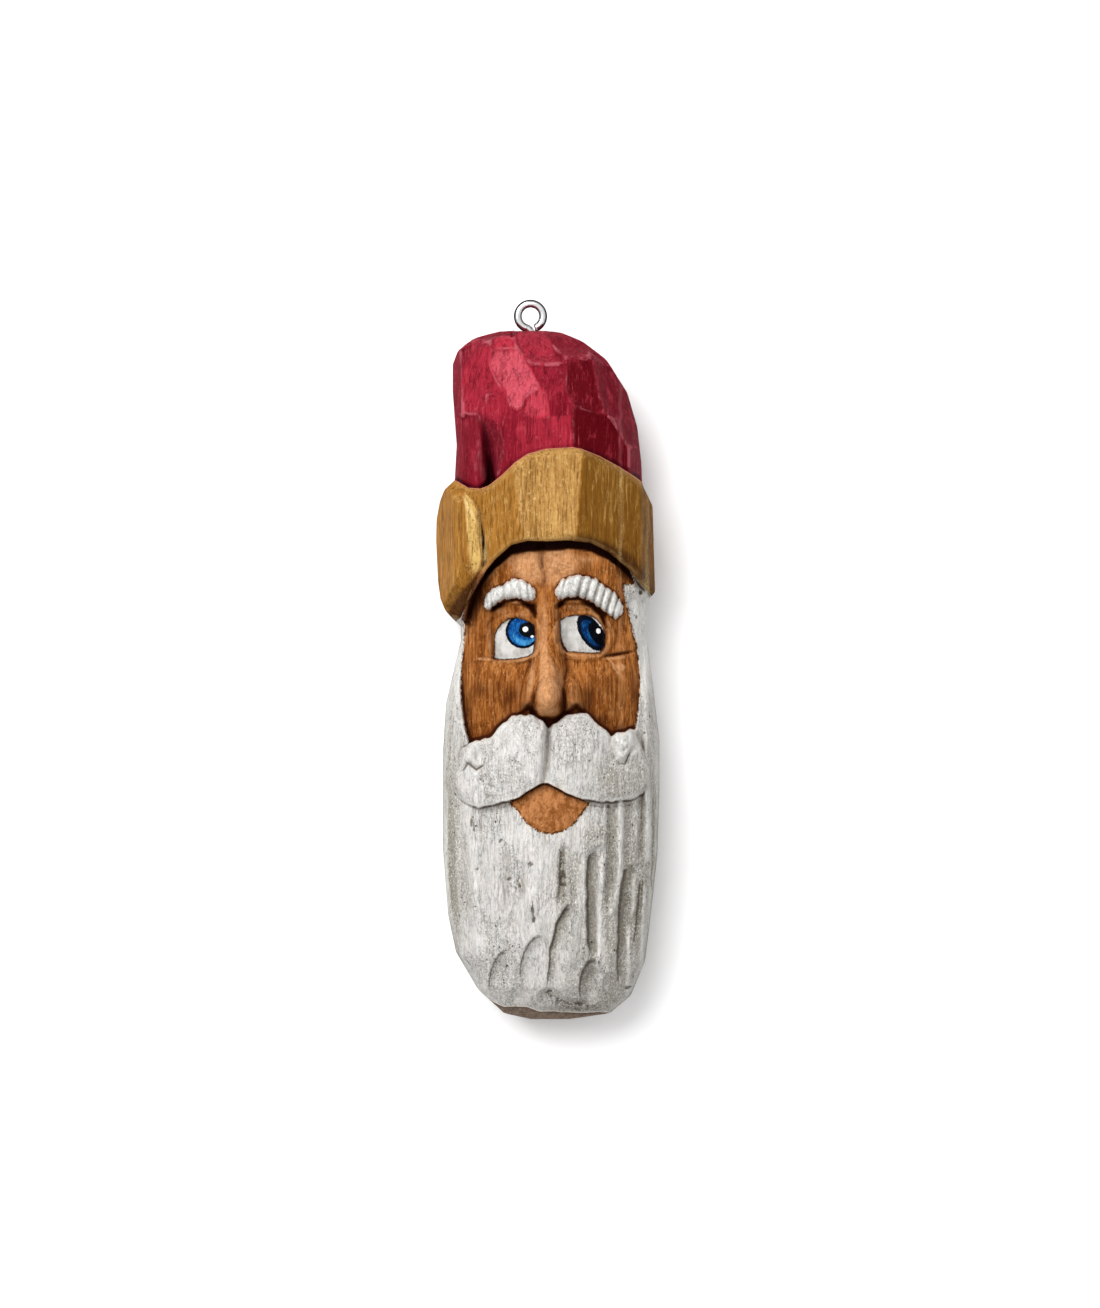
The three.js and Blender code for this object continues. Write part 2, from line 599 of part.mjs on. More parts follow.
function screwEye() {
  const foot = -ringRadius - SHANK_LENGTH;
  const neck = -ringRadius - WIRE / 2;
  const opening = WIRE + MOUTH;
  const mouthTurn = Math.acos((ringRadius ** 2 + neck ** 2 - opening ** 2) / (-2 * ringRadius * neck));
  const spots = [foot, mix(foot, neck, 0.5), neck].map((y) => new THREE.Vector3(0, y, 0));
  for (let i = 0; i <= RING_SPOTS; i++) {
    const turn = mix(NECK_TURN, 2 * Math.PI - mouthTurn, i / RING_SPOTS);
    spots.push(new THREE.Vector3(-ringRadius * Math.sin(turn), -ringRadius * Math.cos(turn), 0));
  }
  const section = new THREE.Shape().absarc(0, 0, WIRE / 2, 0, 2 * Math.PI, false);
  const eye = new THREE.ExtrudeGeometry(section, {
    steps: WIRE_STEPS,
    curveSegments: WIRE_HALF_SIDES,
    bevelEnabled: false,
    extrudePath: new THREE.CatmullRomCurve3(spots, false, 'centripetal'),
  });
  eye.translate(toX(SHANK_U), toY(ringCentre), SHANK_HEIGHT);
  return eye;
}

const paintedWood = new THREE.MeshStandardMaterial({ color: 0xc3b7ac, roughness: 0.75, metalness: 0 });
const platedSteel = new THREE.MeshStandardMaterial({ color: 0xb9bbbd, roughness: 0.25, metalness: 1 });

const ornament = new THREE.Group();

const figure = new THREE.Mesh(asGeometry(carvedSolid().subtract(pilotHole())), paintedWood);
figure.name = 'carved_figure';
ornament.add(figure);

const eye = new THREE.Mesh(screwEye(), platedSteel);
eye.name = 'screw_eye';
ornament.add(eye);

export default ornament;
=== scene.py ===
import math
import bmesh
import bpy
import numpy as np
from mathutils import Matrix, Vector


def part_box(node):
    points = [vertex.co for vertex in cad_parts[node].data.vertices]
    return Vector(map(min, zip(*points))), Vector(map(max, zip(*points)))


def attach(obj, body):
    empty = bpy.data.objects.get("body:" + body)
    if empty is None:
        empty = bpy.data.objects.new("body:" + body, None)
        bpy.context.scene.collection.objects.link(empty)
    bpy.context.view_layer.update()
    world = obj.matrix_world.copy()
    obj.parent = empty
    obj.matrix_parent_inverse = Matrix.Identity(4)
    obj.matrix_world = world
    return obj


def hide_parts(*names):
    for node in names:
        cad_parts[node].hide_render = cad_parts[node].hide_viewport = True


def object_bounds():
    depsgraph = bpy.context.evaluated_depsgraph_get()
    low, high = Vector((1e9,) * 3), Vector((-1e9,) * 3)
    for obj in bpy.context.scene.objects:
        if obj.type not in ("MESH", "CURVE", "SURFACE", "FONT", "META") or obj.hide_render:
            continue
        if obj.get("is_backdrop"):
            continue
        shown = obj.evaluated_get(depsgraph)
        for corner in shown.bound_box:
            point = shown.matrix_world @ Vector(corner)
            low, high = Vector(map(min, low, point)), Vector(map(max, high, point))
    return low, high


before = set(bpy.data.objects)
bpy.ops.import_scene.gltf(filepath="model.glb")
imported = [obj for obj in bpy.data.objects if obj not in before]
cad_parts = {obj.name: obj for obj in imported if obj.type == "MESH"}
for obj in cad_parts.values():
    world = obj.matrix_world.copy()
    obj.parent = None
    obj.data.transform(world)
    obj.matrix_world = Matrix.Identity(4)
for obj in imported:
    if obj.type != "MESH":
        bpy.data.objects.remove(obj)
solid_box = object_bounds()

# CARVED FIGURE
# One stick of basswood, whittled with a knife and a small gouge and left flat at the back. It is
# stained brown, crimson and gold, and its hair, moustache and beard are painted white.

# The carving is drawn in units of 0.15 mm: u to the right of the middle line, v up from the
# beard's end, and heights above the flat back. FIGURE_LENGTH is from the beard's end to the top.

UNIT = 0.00015
FIGURE_LENGTH = 688
beard_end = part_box("carved_figure")[0].y

LEFT_OUTLINE = [
    (0, -17), (6, -44), (30, -70), (67, -92), (105, -100), (169, -105), (269, -105), (316, -102),
    (359, -92), (379, -87), (393, -87.5), (399, -94), (408, -102), (420, -107), (437, -109.5),
    (479, -111.5), (499, -111), (517, -107.5), (528, -103), (537, -93), (573, -91), (627, -95),
    (655, -95), (668, -90), (681, -74), (688, -48),
]
RIGHT_OUTLINE = [
    (0, 22), (6, 62), (24, 83), (58, 97), (109, 103.5), (165, 109.5), (229, 111.5), (279, 111.5),
    (337, 104.5), (379, 99), (417, 99), (427, 106.5), (479, 105), (512, 104), (532, 94), (556, 93),
    (591, 89), (625, 79), (658, 58), (676, 34), (686, 12), (688, -3),
]


def ramp(low, high, value):
    share = np.clip((value - low) / (high - low), 0, 1)
    return share * share * (3 - 2 * share)


def mix(under, over, share):
    return under + (over - under) * share


def along(knots, at):
    places, values = zip(*knots)
    return np.interp(at, places, values)


def dome(share, fullness):
    return (1 - np.clip(np.abs(share), 0, 1) ** fullness) ** (1 / fullness)


def turned(u, v, middle_u, middle_v, wide, tall, turn):
    """Distance from a spot, 1 on an oval round it that is turned by some degrees."""
    right, up = u - middle_u, v - middle_v
    cos, sin = math.cos(math.radians(turn)), math.sin(math.radians(turn))
    return np.hypot((right * cos + up * sin) / wide, (up * cos - right * sin) / tall)


def swell(u, v, middle_u, middle_v, wide, tall, height, turn=0):
    return height * np.exp(-turned(u, v, middle_u, middle_v, wide, tall, turn) ** 2)


def lump(u, v, middle_u, middle_v, wide, tall, height, turn=0, blunt=2.4):
    return height * dome(turned(u, v, middle_u, middle_v, wide, tall, turn), blunt)


def mound(u, v, middle_u, middle_v, wide, tall, height, turn=0):
    reach = np.clip(turned(u, v, middle_u, middle_v, wide, tall, turn), 0, 1)
    return height * (1 - reach ** 2) ** 1.3


def to_stretch(u, v, u0, v0, u1, v1):
    """Distance to a straight stretch of line, and how far along it the nearest spot is."""
    share = np.clip(((u - u0) * (u1 - u0) + (v - v0) * (v1 - v0)) / math.hypot(u1 - u0, v1 - v0) ** 2, 0, 1)
    return np.hypot(u - mix(u0, u1, share), v - mix(v0, v1, share)), share


def nearest(u, v, path):
    """Distance to a path of (u, v, strength) spots, and the strength there."""
    gap, strength = np.full(np.shape(u), np.inf), np.zeros(np.shape(u))
    for (u0, v0, s0), (u1, v1, s1) in zip(path, path[1:]):
        here, share = to_stretch(u, v, u0, v0, u1, v1)
        gap, strength = np.minimum(gap, here), np.where(here < gap, mix(s0, s1, share), strength)
    return gap, strength


def groove(u, v, half, depth, path):
    gap, strength = nearest(u, v, path)
    width = half * (0.4 + 0.6 * strength)
    return depth * strength * np.clip(1 - gap / width, 0, 1)


def planes(u, v, cuts):
    """Lowest of several knife cuts (u, v, height, slope along u, slope along v), and which it is."""
    heights = [height + du * (u - cu) + dv * (v - cv) for cu, cv, height, du, dv in cuts]
    return np.min(heights, axis=0), np.argmin(heights, axis=0)


def inwards(u, v, edge):
    """Distance in from a closed line of (u, v) corners, negative outside it."""
    gap, inside = np.full(np.shape(u), np.inf), np.zeros(np.shape(u), bool)
    for (u0, v0), (u1, v1) in zip(edge, edge[1:] + edge[:1]):
        gap = np.minimum(gap, to_stretch(u, v, u0, v0, u1, v1)[0])
        if v0 != v1:
            inside ^= ((v0 > v) != (v1 > v)) & (u < u0 + (u1 - u0) * (v - v0) / (v1 - v0))
    return np.where(inside, gap, -gap)


def uneven(u, v, wide, tall, seed):
    """Soft unevenness between -1 and 1, with hills about this wide and tall."""
    lattice = np.random.default_rng(seed).uniform(-1, 1, (64, 64))
    right, up = u / wide + 1000, v / tall + 1000
    i, j = np.floor(right).astype(int), np.floor(up).astype(int)
    a, b = ramp(0, 1, right - i), ramp(0, 1, up - j)
    corner = lambda di, dj: lattice[(i + di) % 64, (j + dj) % 64]
    return mix(mix(corner(0, 0), corner(1, 0), a), mix(corner(0, 1), corner(1, 1), a), b)


def across(u, v):
    left, right = along(LEFT_OUTLINE, v), along(RIGHT_OUTLINE, v)
    return (2 * u - left - right) / (right - left)


# Beard: the widest line of the figure lies SIDE_HEIGHT above its back. Gouge flutes run down
# the right half, wide knife cuts down the left one, and short scoops cross its end.

SIDE_HEIGHT = 53
FULLNESS = {"beard": 2.7, "moustache": 2.5, "face": 2.25, "hat": 2.2}
BEARD_SWELLS = [(23, 86, 8, 28, 3), (54, 150, 5, 60, 1.5)]
BEARD_DEPTH = [
    (0, 57), (3, 70), (15, 97), (34, 115), (64, 129), (119, 140), (179, 144), (239, 143), (299, 132),
    (479, 126),
]

# Flutes are (left half, right half, depth, path), ridges (half, height, path), and their paths
# are (v, u, strength). Scoops and chips are (u, v, wide, tall, depth, turn), and a scoop's last
# number is how dark the painted shade along its upper rim is. Cracks are (strength, path), with
# paths of (u, v, strength).
FLUTES = [
    (7, 14, 10, [(56, 45, 0), (76, 43, 0.9), (100, 42, 1), (140, 42, 1), (162, 43.5, 1), (176, 47, 0)]),
    (8, 8, 5, [(86, 56, 0), (110, 57, 0.6), (150, 62, 1), (205, 63, 1), (217, 62, 0.5)]),
    (5, 9, 2.8, [(140, 79, 0), (155, 79, 1), (214, 78, 1), (224, 77, 0.3)]),
    (5, 17, 8, [(28, 72, 0), (46, 71, 0.8), (110, 72, 1), (136, 74, 1), (150, 78, 0.9), (158, 84, 0)]),
    (4, 3, 3.5, [(60, 76, 0), (84, 76, 0.7), (120, 80, 0.8), (146, 85, 0)]),
    (6, 3, 4, [(158, 94, 0), (170, 94, 1), (218, 94, 1), (232, 94, 0.6)]),
    (3, 4, 3.5, [(60, 85, 0), (84, 87, 0.9), (110, 90, 1), (134, 92, 1), (144, 93, 0)]),
    (4, 6, 4.5, [(112, 13, 0), (124, 12, 0.8), (142, 13, 1), (168, 14, 1), (178, 15, 0)]),
    (3, 11, 6, [(30, -1, 0), (43, 1.5, 0.7), (72, 3.6, 1), (97, 9.8, 1), (112, 17, 1), (122, 22, 0)]),
    (8, 5, 3.5, [(40, 30, 0), (66, 33, 0.9), (95, 34, 0.5), (110, 34, 0)]),
    (12, 9, 4, [(96, 30, 0), (120, 27, 0.9), (160, 26, 1), (178, 24, 0)]),
    (13, 9, 3.4, [(60, -62, 0), (90, -60, 0.8), (150, -62, 1), (200, -64, 0.3)]),
    (9, 6, 4.2, [(70, -76, 0), (110, -81, 1), (170, -84, 1), (212, -87, 0.3)]),
    (9, 5, 3, [(84, -47, 0), (120, -43, 1), (165, -41, 1), (180, -41, 0)]),
    (10, 4, 2.6, [(92, -32, 0), (125, -27, 1), (150, -25, 0.8), (164, -25, 0)]),
    (6, 6, 3.6, [(60, -86, 0), (120, -94, 1), (180, -97, 1), (236, -98, 0.4)]),
    (4, 5, 3.4, [(90, 103, 0), (130, 105, 1), (220, 106, 1), (250, 105, 0)]),
]
RIDGES = [
    (2.6, 4, [(54, 49, 0), (70, 51, 0.9), (120, 51, 1), (150, 51.5, 1), (172, 52, 0)]),
    (3.6, 4.5, [(98, 60, 0), (110, 63, 0.8), (124, 67, 1), (146, 71, 1), (208, 72, 1), (218, 72, 0.5)]),
    (2.6, 3, [(100, 83, 0), (112, 84, 1), (140, 85, 0.8), (150, 86, 0)]),
    (2.6, 3, [(18, 79, 0), (34, 80, 0.9), (90, 80, 1), (102, 80, 0)]),
    (3.4, 5, [(157, 99, 0), (161, 99, 0.9), (190, 100, 1), (226, 99, 1), (236, 99, 0.5)]),
    (2.4, 2.6, [(30, 92, 0), (60, 93, 0.9), (130, 96, 0.8), (142, 96, 0)]),
    (3, 2.4, [(70, -97, 0), (110, -101, 1), (200, -102, 0.8), (230, -100, 0)]),
    (3, 2, [(84, -70, 0), (120, -72, 1), (190, -74, 0.6), (210, -74, 0)]),
]
SCOOPS = [
    (-46, 45, 12, 27, 6, -12, 0.7), (-13, 56, 14.5, 31, 7, -12, 0.7), (42, 37, 11, 25, 9, -5, 1),
    (1, 25, 12, 9, 5, 8, 0.2), (24, 14, 17, 9, 5, -14, 0), (-72, 42, 9, 22, 3, -24, 0),
    (66, 30, 11, 19, 5, 20, 0.2), (13, 60, 8, 22, 3, -6, 0), (-30, 36, 5, 22, 2, -10, 0),
]
CHIPS = [
    (-15, 111, 2, 5, 3, 10), (-14, 102, 1.8, 4, 3, -10), (-18, 157, 4, 1.6, 2, -20),
    (80, 33, 4, 1.6, 3.5, 15), (-39, 142, 3, 1.4, 2, 30), (1, 30, 5, 1.2, 2, 16),
    (-76, 198, 1.6, 5, 2, 0), (-47, 180, 3.5, 1.6, 1.6, 40), (92, 426, 2.2, 2.4, 3.5, 0),
    (79, 410, 4, 1, 1.6, -35), (88, 402, 1, 2.4, 1.6, -20), (30, 17, 5, 1.6, 2, -20),
    (-28, 136, 1.4, 3, 1.6, 20), (-70, 152, 2.4, 1.2, 1.5, 30), (79, 33, 3, 1.6, 3, 10),
    (60, 214, 1.6, 1.6, 2, 0),
]
BROKEN = [(15, 138, 6, 34), (6, 24, 13, 7), (28, 15, 15, 6), (50, 11, 15, 5), (-30, 136, 9, 7)]
CHIP_DARKNESS = 1.2
FLUTE_LINE, SCOOP_LINE, CRACK_LINE = 1.5, 1.7, 1.1
SMEARS = [(45, 13, 19, 6, 0.6, -18), (20, 17, 18, 5, 0.5, -24)]
CRACKS = [
    (1, [(-74, 204, 0.6), (-73, 189, 1)]),
    (0.4, [(-51, 178, 0.5), (-53, 160, 1), (-49, 140, 1), (-50, 112, 0.4)]),
    (0.4, [(-70, 158, 0.4), (-72, 120, 1), (-66, 80, 1), (-64, 34, 0.6)]),
    (0.9, [(-15, 121, 0.8), (-15.5, 112, 1)]), (0.35, [(-86, 190, 0.5), (-87, 120, 1), (-82, 70, 0.7)]),
    (0.9, [(-15, 108, 1), (-13.5, 99, 1)]), (0.6, [(-34, 139, 0.5), (-27, 144, 1), (-20, 151, 0.8)]),
    (0.7, [(-22, 167, 0.6), (-16, 158, 1), (-12, 156, 0.4)]),
    (0.35, [(24, 172, 0.4), (26, 130, 1), (31, 92, 1), (33, 66, 0.5)]),
    (0.5, [(-62, 172, 1), (-54, 176, 0.6), (-52, 168, 0.8)]),
    (0.9, [(94, 147, 0.6), (93, 128, 1), (94, 110, 0.6)]),
    (0.7, [(92, 228, 0.4), (93, 205, 1), (92, 186, 0.7)]),
    (0.5, [(58, 218, 0.4), (59, 180, 1), (57, 140, 0.7)]),
    (0.8, [(82, 406, 0.6), (88, 402, 1), (86, 396, 0.4)]), (0.7, [(79, 412, 1), (84, 408, 0.8)]),
    (0.3, [(4, 180, 0.4), (2, 140, 1), (-2, 110, 0.6)]),
    (1.4, [(-84, 250, 0.6), (-79, 257, 1), (-71, 250.5, 1), (-65, 254, 0.7)]),
    (1, [(-67, 242, 1), (-66, 240, 1)]),
    (0.8, [(67, 262, 0.5), (70, 257, 1), (76, 256, 1), (79, 263, 0.9), (83, 270, 0.7), (89, 273, 0.3)]),
    (0.9, [(-2, 29, 0.5), (12, 22, 1), (26, 13, 0.8)]), (0.8, [(6, 18, 0.5), (22, 12, 1), (46, 8, 0.5)]),
    (0.35, [(-36, 200, 0.5), (-38, 160, 1), (-37, 100, 1), (-40, 66, 0.5)]),
    (0.35, [(-26, 190, 0.5), (-25, 150, 1), (-27, 128, 0.5)]),
    (0.35, [(12, 176, 0.5), (9, 150, 1), (10, 128, 0.5)]),
    (0.4, [(86, 210, 0.5), (85, 170, 1), (86, 130, 0.7)]),
    (0.6, [(70, 266, 0.6), (73, 262, 1), (76, 263, 0.6)]),
    (0.4, [(-40, 258, 0.4), (-36, 246, 1), (-28, 240, 0.5)]),
]


def line(distance, half):
    """1 on a line, fading away on both sides of it."""
    return np.exp(-(distance / half) ** 2)


def splinters(u, v):
    return uneven(u, v, 3, 3.6, 13)


def bumps(u, v, rows):
    """Roughness of several sizes: rows of (amount, wide, tall, seed)."""
    return sum(amount * uneven(u, v, *spread) for amount, *spread in rows)


def hollows(u, v, rows):
    """The same where each size is only cut in, as by the strokes of a knife."""
    return sum(amount * np.abs(uneven(u, v, *spread)) for amount, *spread in rows)


def beside(u, v, path, seed):
    """How far right of a wandering path of (v, u, strength) a spot lies, and the strength there."""
    places, middle, strength = zip(*path)
    wander = 0.8 * uneven(0 * u, v, 9, 9, seed)
    return u - np.interp(v, places, middle) - wander, np.interp(v, places, strength)


def flute(u, v, left, right, depth, path):
    """A gouge cut down the beard: a steep left wall and a right side that runs out gently."""
    gap, strength = beside(u, v, path, int(depth * 10))
    section = np.where(gap < 0, ramp(-left, 0, gap), 1 - np.clip(gap / right, 0, 1) ** 1.7)
    return depth * strength * section


def ridge(u, v, half, height, path):
    gap, strength = beside(u, v, path, int(height * 10))
    return height * strength * line(gap, half)


def scoop(u, v, middle_u, middle_v, wide, tall, depth, turn, darkness):
    """A short cut made from below: steep at its upper left rim and running out at its foot."""
    reach = np.clip(turned(u, v, middle_u, middle_v, wide, tall, turn), 0, 1)
    rising = np.clip(0.5 + 0.45 * ((v - middle_v) / tall - (u - middle_u) / wide), 0, 1)
    return depth * (0.3 + 0.9 * rising) * np.sqrt(1 - reach ** 2)


def scored_and_shaded(u, v):
    """Thin dark lines: cracks and chips in the paint, and painted shade on the steep walls of
    flutes, the upper rims of scoops and the notches of the brows.
    """
    marks = [swell(u, v, *spot) for spot in SMEARS]
    for left, right, depth, path in FLUTES:
        gap, strength = beside(u, v, path, int(depth * 10))
        steepness = 0.75 * min(depth / left, 1.4)
        marks.append(steepness * strength * line(gap + 0.4 * left, FLUTE_LINE))
    for middle_u, middle_v, wide, tall, depth, turn, darkness in SCOOPS:
        reach = turned(u, v, middle_u, middle_v, wide, tall, turn)
        rising = ramp(-0.1, 0.9, (v - middle_v) / tall - (u - middle_u) / wide)
        marks.append(darkness * rising * line((reach - 0.95) * wide, SCOOP_LINE))
    for middle_u, middle_v, wide, tall, depth, turn in CHIPS:
        marks.append(lump(u, v, middle_u, middle_v, wide, tall, CHIP_DARKNESS, turn, 2))
    for strength, path in CRACKS:
        gap, share = nearest(u, v, path)
        marks.append(strength * share * line(gap, CRACK_LINE))
    marks += [swell(u, v, *spot, 0.9) * ramp(0.1, 0.6, splinters(u, v)) for spot in BROKEN]
    marks += [notched(u, v, **shape) * (inwards(u, v, shape["edge"]) > 0) for shape in BROWS]
    return np.max(marks, axis=0)


def beard(u, v):
    depth = along(BEARD_DEPTH, v) - SIDE_HEIGHT
    height = SIDE_HEIGHT + depth * dome(across(u, v), FULLNESS["beard"])
    height += sum(swell(u, v, *shape) for shape in BEARD_SWELLS)
    height += sum(ridge(u, v, *shape) for shape in RIDGES)
    cuts = [flute(u, v, *shape) for shape in FLUTES] + [scoop(u, v, *shape) for shape in SCOOPS]
    chip = np.max([lump(u, v, *shape, 2) for shape in CHIPS], axis=0)
    chip += sum(swell(u, v, *spot, 2.8) for spot in BROKEN) * ramp(-0.1, 0.8, splinters(u, v))
    return height - np.max(cuts, axis=0) - chip


# Lip: a small brown spade between the beard and the moustache.

LIP_BOTTOM = [
    (-37, 216), (-31, 211), (-24, 201), (-17, 194), (-7, 188.5), (3, 187), (13, 189), (24, 195),
    (33, 206), (41, 217),
]
LIP_DROP = 8
LIP_SWELL = (3, 214, 46, 32, 11)


def lip(u, v):
    depth = along(BEARD_DEPTH, v) - SIDE_HEIGHT
    height = SIDE_HEIGHT + depth * dome(across(u, v), FULLNESS["beard"])
    return height - LIP_DROP + lump(u, v, *LIP_SWELL)


# Moustache: two pillows with a parting between them, standing proud of the beard.

MOUSTACHE_BOTTOM = [
    (-108, 243), (-98, 231), (-91, 224), (-83, 218), (-70, 213), (-57, 216), (-36, 220), (-20, 229),
    (-5, 238), (4, 236), (13, 230), (33, 221), (50, 219), (68, 219), (86, 221), (95, 228), (108, 236),
]
MOUSTACHE_TOP = [
    (-108, 257), (-93, 263), (-78, 278), (-58, 281), (-50, 290), (-35, 305), (-14, 305), (-7, 300),
    (1, 292), (8, 296), (21, 306), (39, 306), (50, 295), (63, 284), (68, 287), (86, 291), (94, 279),
    (102, 264), (108, 257),
]
MOUSTACHE_ENDS = (-97, 101, 251)
MOUSTACHE_DEPTH = 91
PILLOW_RISE = 13
PILLOW_SWELLS = [
    (-26, 254, 28, 30, 4), (27, 251, 22, 30, 5), (-64, 243, 13, 20, -2.5), (60, 262, 10, 22, -3),
]
CURLS = [(75, 275, 12, 19, 5, -14), (96, 246, 8, 20, 3)]
CURL_DAUBS = [((75, 274, 13, 20, 4), (5, 6, 20)), ((75, 270, 12, 18, 2.4), (2.6, 3, 22))]
MOUSTACHE_PIT = (-66, 243, 2, 1.6, 2)
MOUSTACHE_CUTS = [
    (6, 9, [(1, 293, 1), (-1, 259, 1), (-4, 238, 0.8)]),
    (4, 4, [(89, 274, 0.3), (84, 271, 0.8), (80, 265, 1), (77, 258, 1), (71, 256, 0.7), (66, 262, 0.3)]),
    (3, 1.6, [(67, 284, 0.4), (65, 272, 1), (66, 262, 0.8)]),
    (3.5, 4, [(-85, 250, 0.4), (-79, 257, 1), (-71, 251, 1), (-64, 254, 0.6)]),
]


def frayed(knots, amount, seed):
    """The same edge with the small wobbles of a knife and a brush."""
    places = np.arange(knots[0][0], knots[-1][0] + 2.4, 2.4)
    return list(zip(places, along(knots, places) + amount * uneven(places, 0 * places, 4.5, 1, seed)))


MOUSTACHE_BOTTOM = frayed(MOUSTACHE_BOTTOM, 1.1, 14)
MOUSTACHE_TOP = frayed(MOUSTACHE_TOP, 1.5, 15)


def moustache(u, v):
    bottom = along(MOUSTACHE_BOTTOM, u)
    share = np.clip((v - bottom) / (along(MOUSTACHE_TOP, u) - bottom), 0, 1)
    height = SIDE_HEIGHT + MOUSTACHE_DEPTH * dome(across(u, v), FULLNESS["moustache"])
    height += PILLOW_RISE * dome((share - 0.45) / 0.55, 3)
    height += sum(swell(u, v, *shape) for shape in PILLOW_SWELLS)
    height += sum(mound(u, v, *shape) for shape in CURLS)
    height += sum(mound(u, v, *shape) * uneven(u, v, *spread) for shape, spread in CURL_DAUBS)
    height -= sum(groove(u, v, *cut) for cut in MOUSTACHE_CUTS)
    return height - lump(u, v, *MOUSTACHE_PIT)


# Face: brown, with a furrowed forehead, hollows under the brows and a flat shelf of cheek. A
# cut is its half width, its depth and its path of (u, v, strength).

FACE_LEFT = [
    (278, -78), (291, -82), (310, -85), (331, -86.5), (352, -86), (378, -83.5), (395, -83), (411, -79),
    (433, -72), (448, -61),
]
FACE_RIGHT = [
    (290, 86), (302, 88.5), (321, 91), (337, 92), (359, 90), (374, 88), (388, 84), (402, 81), (421, 76),
    (461, 66),
]
FACE_DEPTH = [
    (274, 124), (299, 131), (339, 131), (362, 127), (399, 127), (434, 136), (460, 139), (479, 140),
]
FACE_SWELLS = [
    (-26, 451, 18, 16, 4), (24, 453, 20, 16, 4.5), (-52, 329, 26, 30, 5), (58, 331, 26, 30, 5),
    (-70, 420, 10, 30, -4), (77, 430, 6, 26, -3),
]
FACE_CUTS = [
    (5, 7, [(-7, 472, 1), (-5, 452, 1), (-2, 440, 0.8), (-5, 425, 0.3)]),
    (4, 8, [
        (-59, 401, 0.4), (-56, 410, 0.8), (-43, 417, 1), (-30, 420, 1), (-16, 411, 1), (-12, 402, 0.7),
    ]),
    (4, 9, [(9, 412, 0.9), (17, 419, 1), (30, 420, 1), (44, 414, 1), (53, 404, 0.8), (56, 392, 0.4)]),
    (5, 14, [(-26, 305, 0.5), (-19, 311, 1), (-13, 306, 0.8)]),
    (5, 14, [(34, 306, 0.5), (28, 312, 1), (20, 306, 0.8)]),
    (3.2, 4, [(33, 343, 0.4), (37, 335, 1), (39, 322, 1), (37, 309, 0.7)]),
    (2.6, 7, [(57, 363, 0.6), (66, 364, 1), (77, 366, 0.8), (86, 368, 0.3)]),
    (2.2, 3, [(57, 361, 0.6), (66, 356, 1), (75, 341, 0.4)]),
    (2.4, 3.5, [(-50, 358, 0.8), (-60, 360, 1), (-69, 360, 0.4)]),
    (7, 7, [(-68, 440, 0.5), (-74, 421, 1), (-79, 398, 0.6)]),
    (2.4, 4, [(-15, 311, 0.5), (-13, 322, 1), (-10, 334, 0.9), (-4, 342, 0.4)]),
    (2.4, 4, [(17, 311, 0.5), (16, 324, 1), (12, 335, 0.9), (6, 342, 0.4)]),
    (2, 2, [(-9, 334, 0.3), (-6, 341, 0.9), (1, 344, 1), (8, 341, 0.8), (11, 334, 0.3)]),
    (2, 1.6, [(-13, 344, 0.4), (-9, 356, 1), (-9, 372, 0.5)]),
    (2, 1.6, [(9, 344, 0.4), (7, 360, 1), (8, 380, 0.5)]),
]
NOSE_HEIGHT = [
    (290, 0), (299, 3), (302, 9), (304, 22), (307, 32), (312, 38.5), (319, 42), (327, 42), (337, 38.5),
    (348, 32.5), (359, 26), (379, 17), (401, 11), (419, 3), (431, 0),
]
NOSE_WIDTH = [
    (290, 6), (302, 12), (306, 15), (310, 17), (316, 18.5), (322, 19), (332, 18.5), (341, 18),
    (352, 18.5), (364, 17.5), (373, 15), (392, 12.5), (431, 11),
]
NOSE_TIP = (1, 321, 12, 12, 5)
NOSE_WINGS = [(-15.5, 329, 11, 36, 23, -12), (24, 321, 12, 29, 21, 9)]
SOFTNESS = 2.8
FACE_MIDDLE, FACE_HALF = 6.5, 100
FACE_STROKES = [(1.1, 9, 17, 12), (0.6, 4, 9, 18)]
EYES = [
    {
        "white": [
            (-52.6, 384), (-53, 361), (-46, 359.5), (-30, 360.5), (-20, 363), (-14.6, 366.5),
            (-13, 379), (-13.5, 392), (-17, 396), (-24.4, 399), (-32, 401), (-39, 399.5), (-46, 395),
            (-50, 390),
        ],
        "hollow": (-54, -12, 414), "ball": (-33, 381, 30, 26, 7),
        "under": [(-54, 359.5), (-40, 358.6), (-28, 360.2), (-19, 362.4), (-14, 365.5), (-12, 369)],
        "crease": [(-60, 397), (-55, 409), (-45, 415), (-32, 418.5), (-20, 414), (-11, 404)],
    },
    {
        "white": [
            (12, 398), (12.7, 384), (15.6, 373), (20, 367.6), (30, 367), (43, 366), (52, 367),
            (56.3, 373), (57, 384), (54, 392.6), (48.4, 399.7), (40, 403.5), (28.4, 403.3), (18.4, 402),
        ],
        "hollow": (12, 58, 415), "ball": (35, 383, 32, 26, 7),
        "under": [
            (12, 376), (15, 370), (19, 366.4), (30, 365.4), (44, 364.8), (52, 365.2), (56, 370), (59, 378),
        ],
        "crease": [(10, 411), (17, 418), (30, 419.5), (43, 414), (52, 404), (57, 391)],
    },
]
HOLLOW_DEPTH = 13


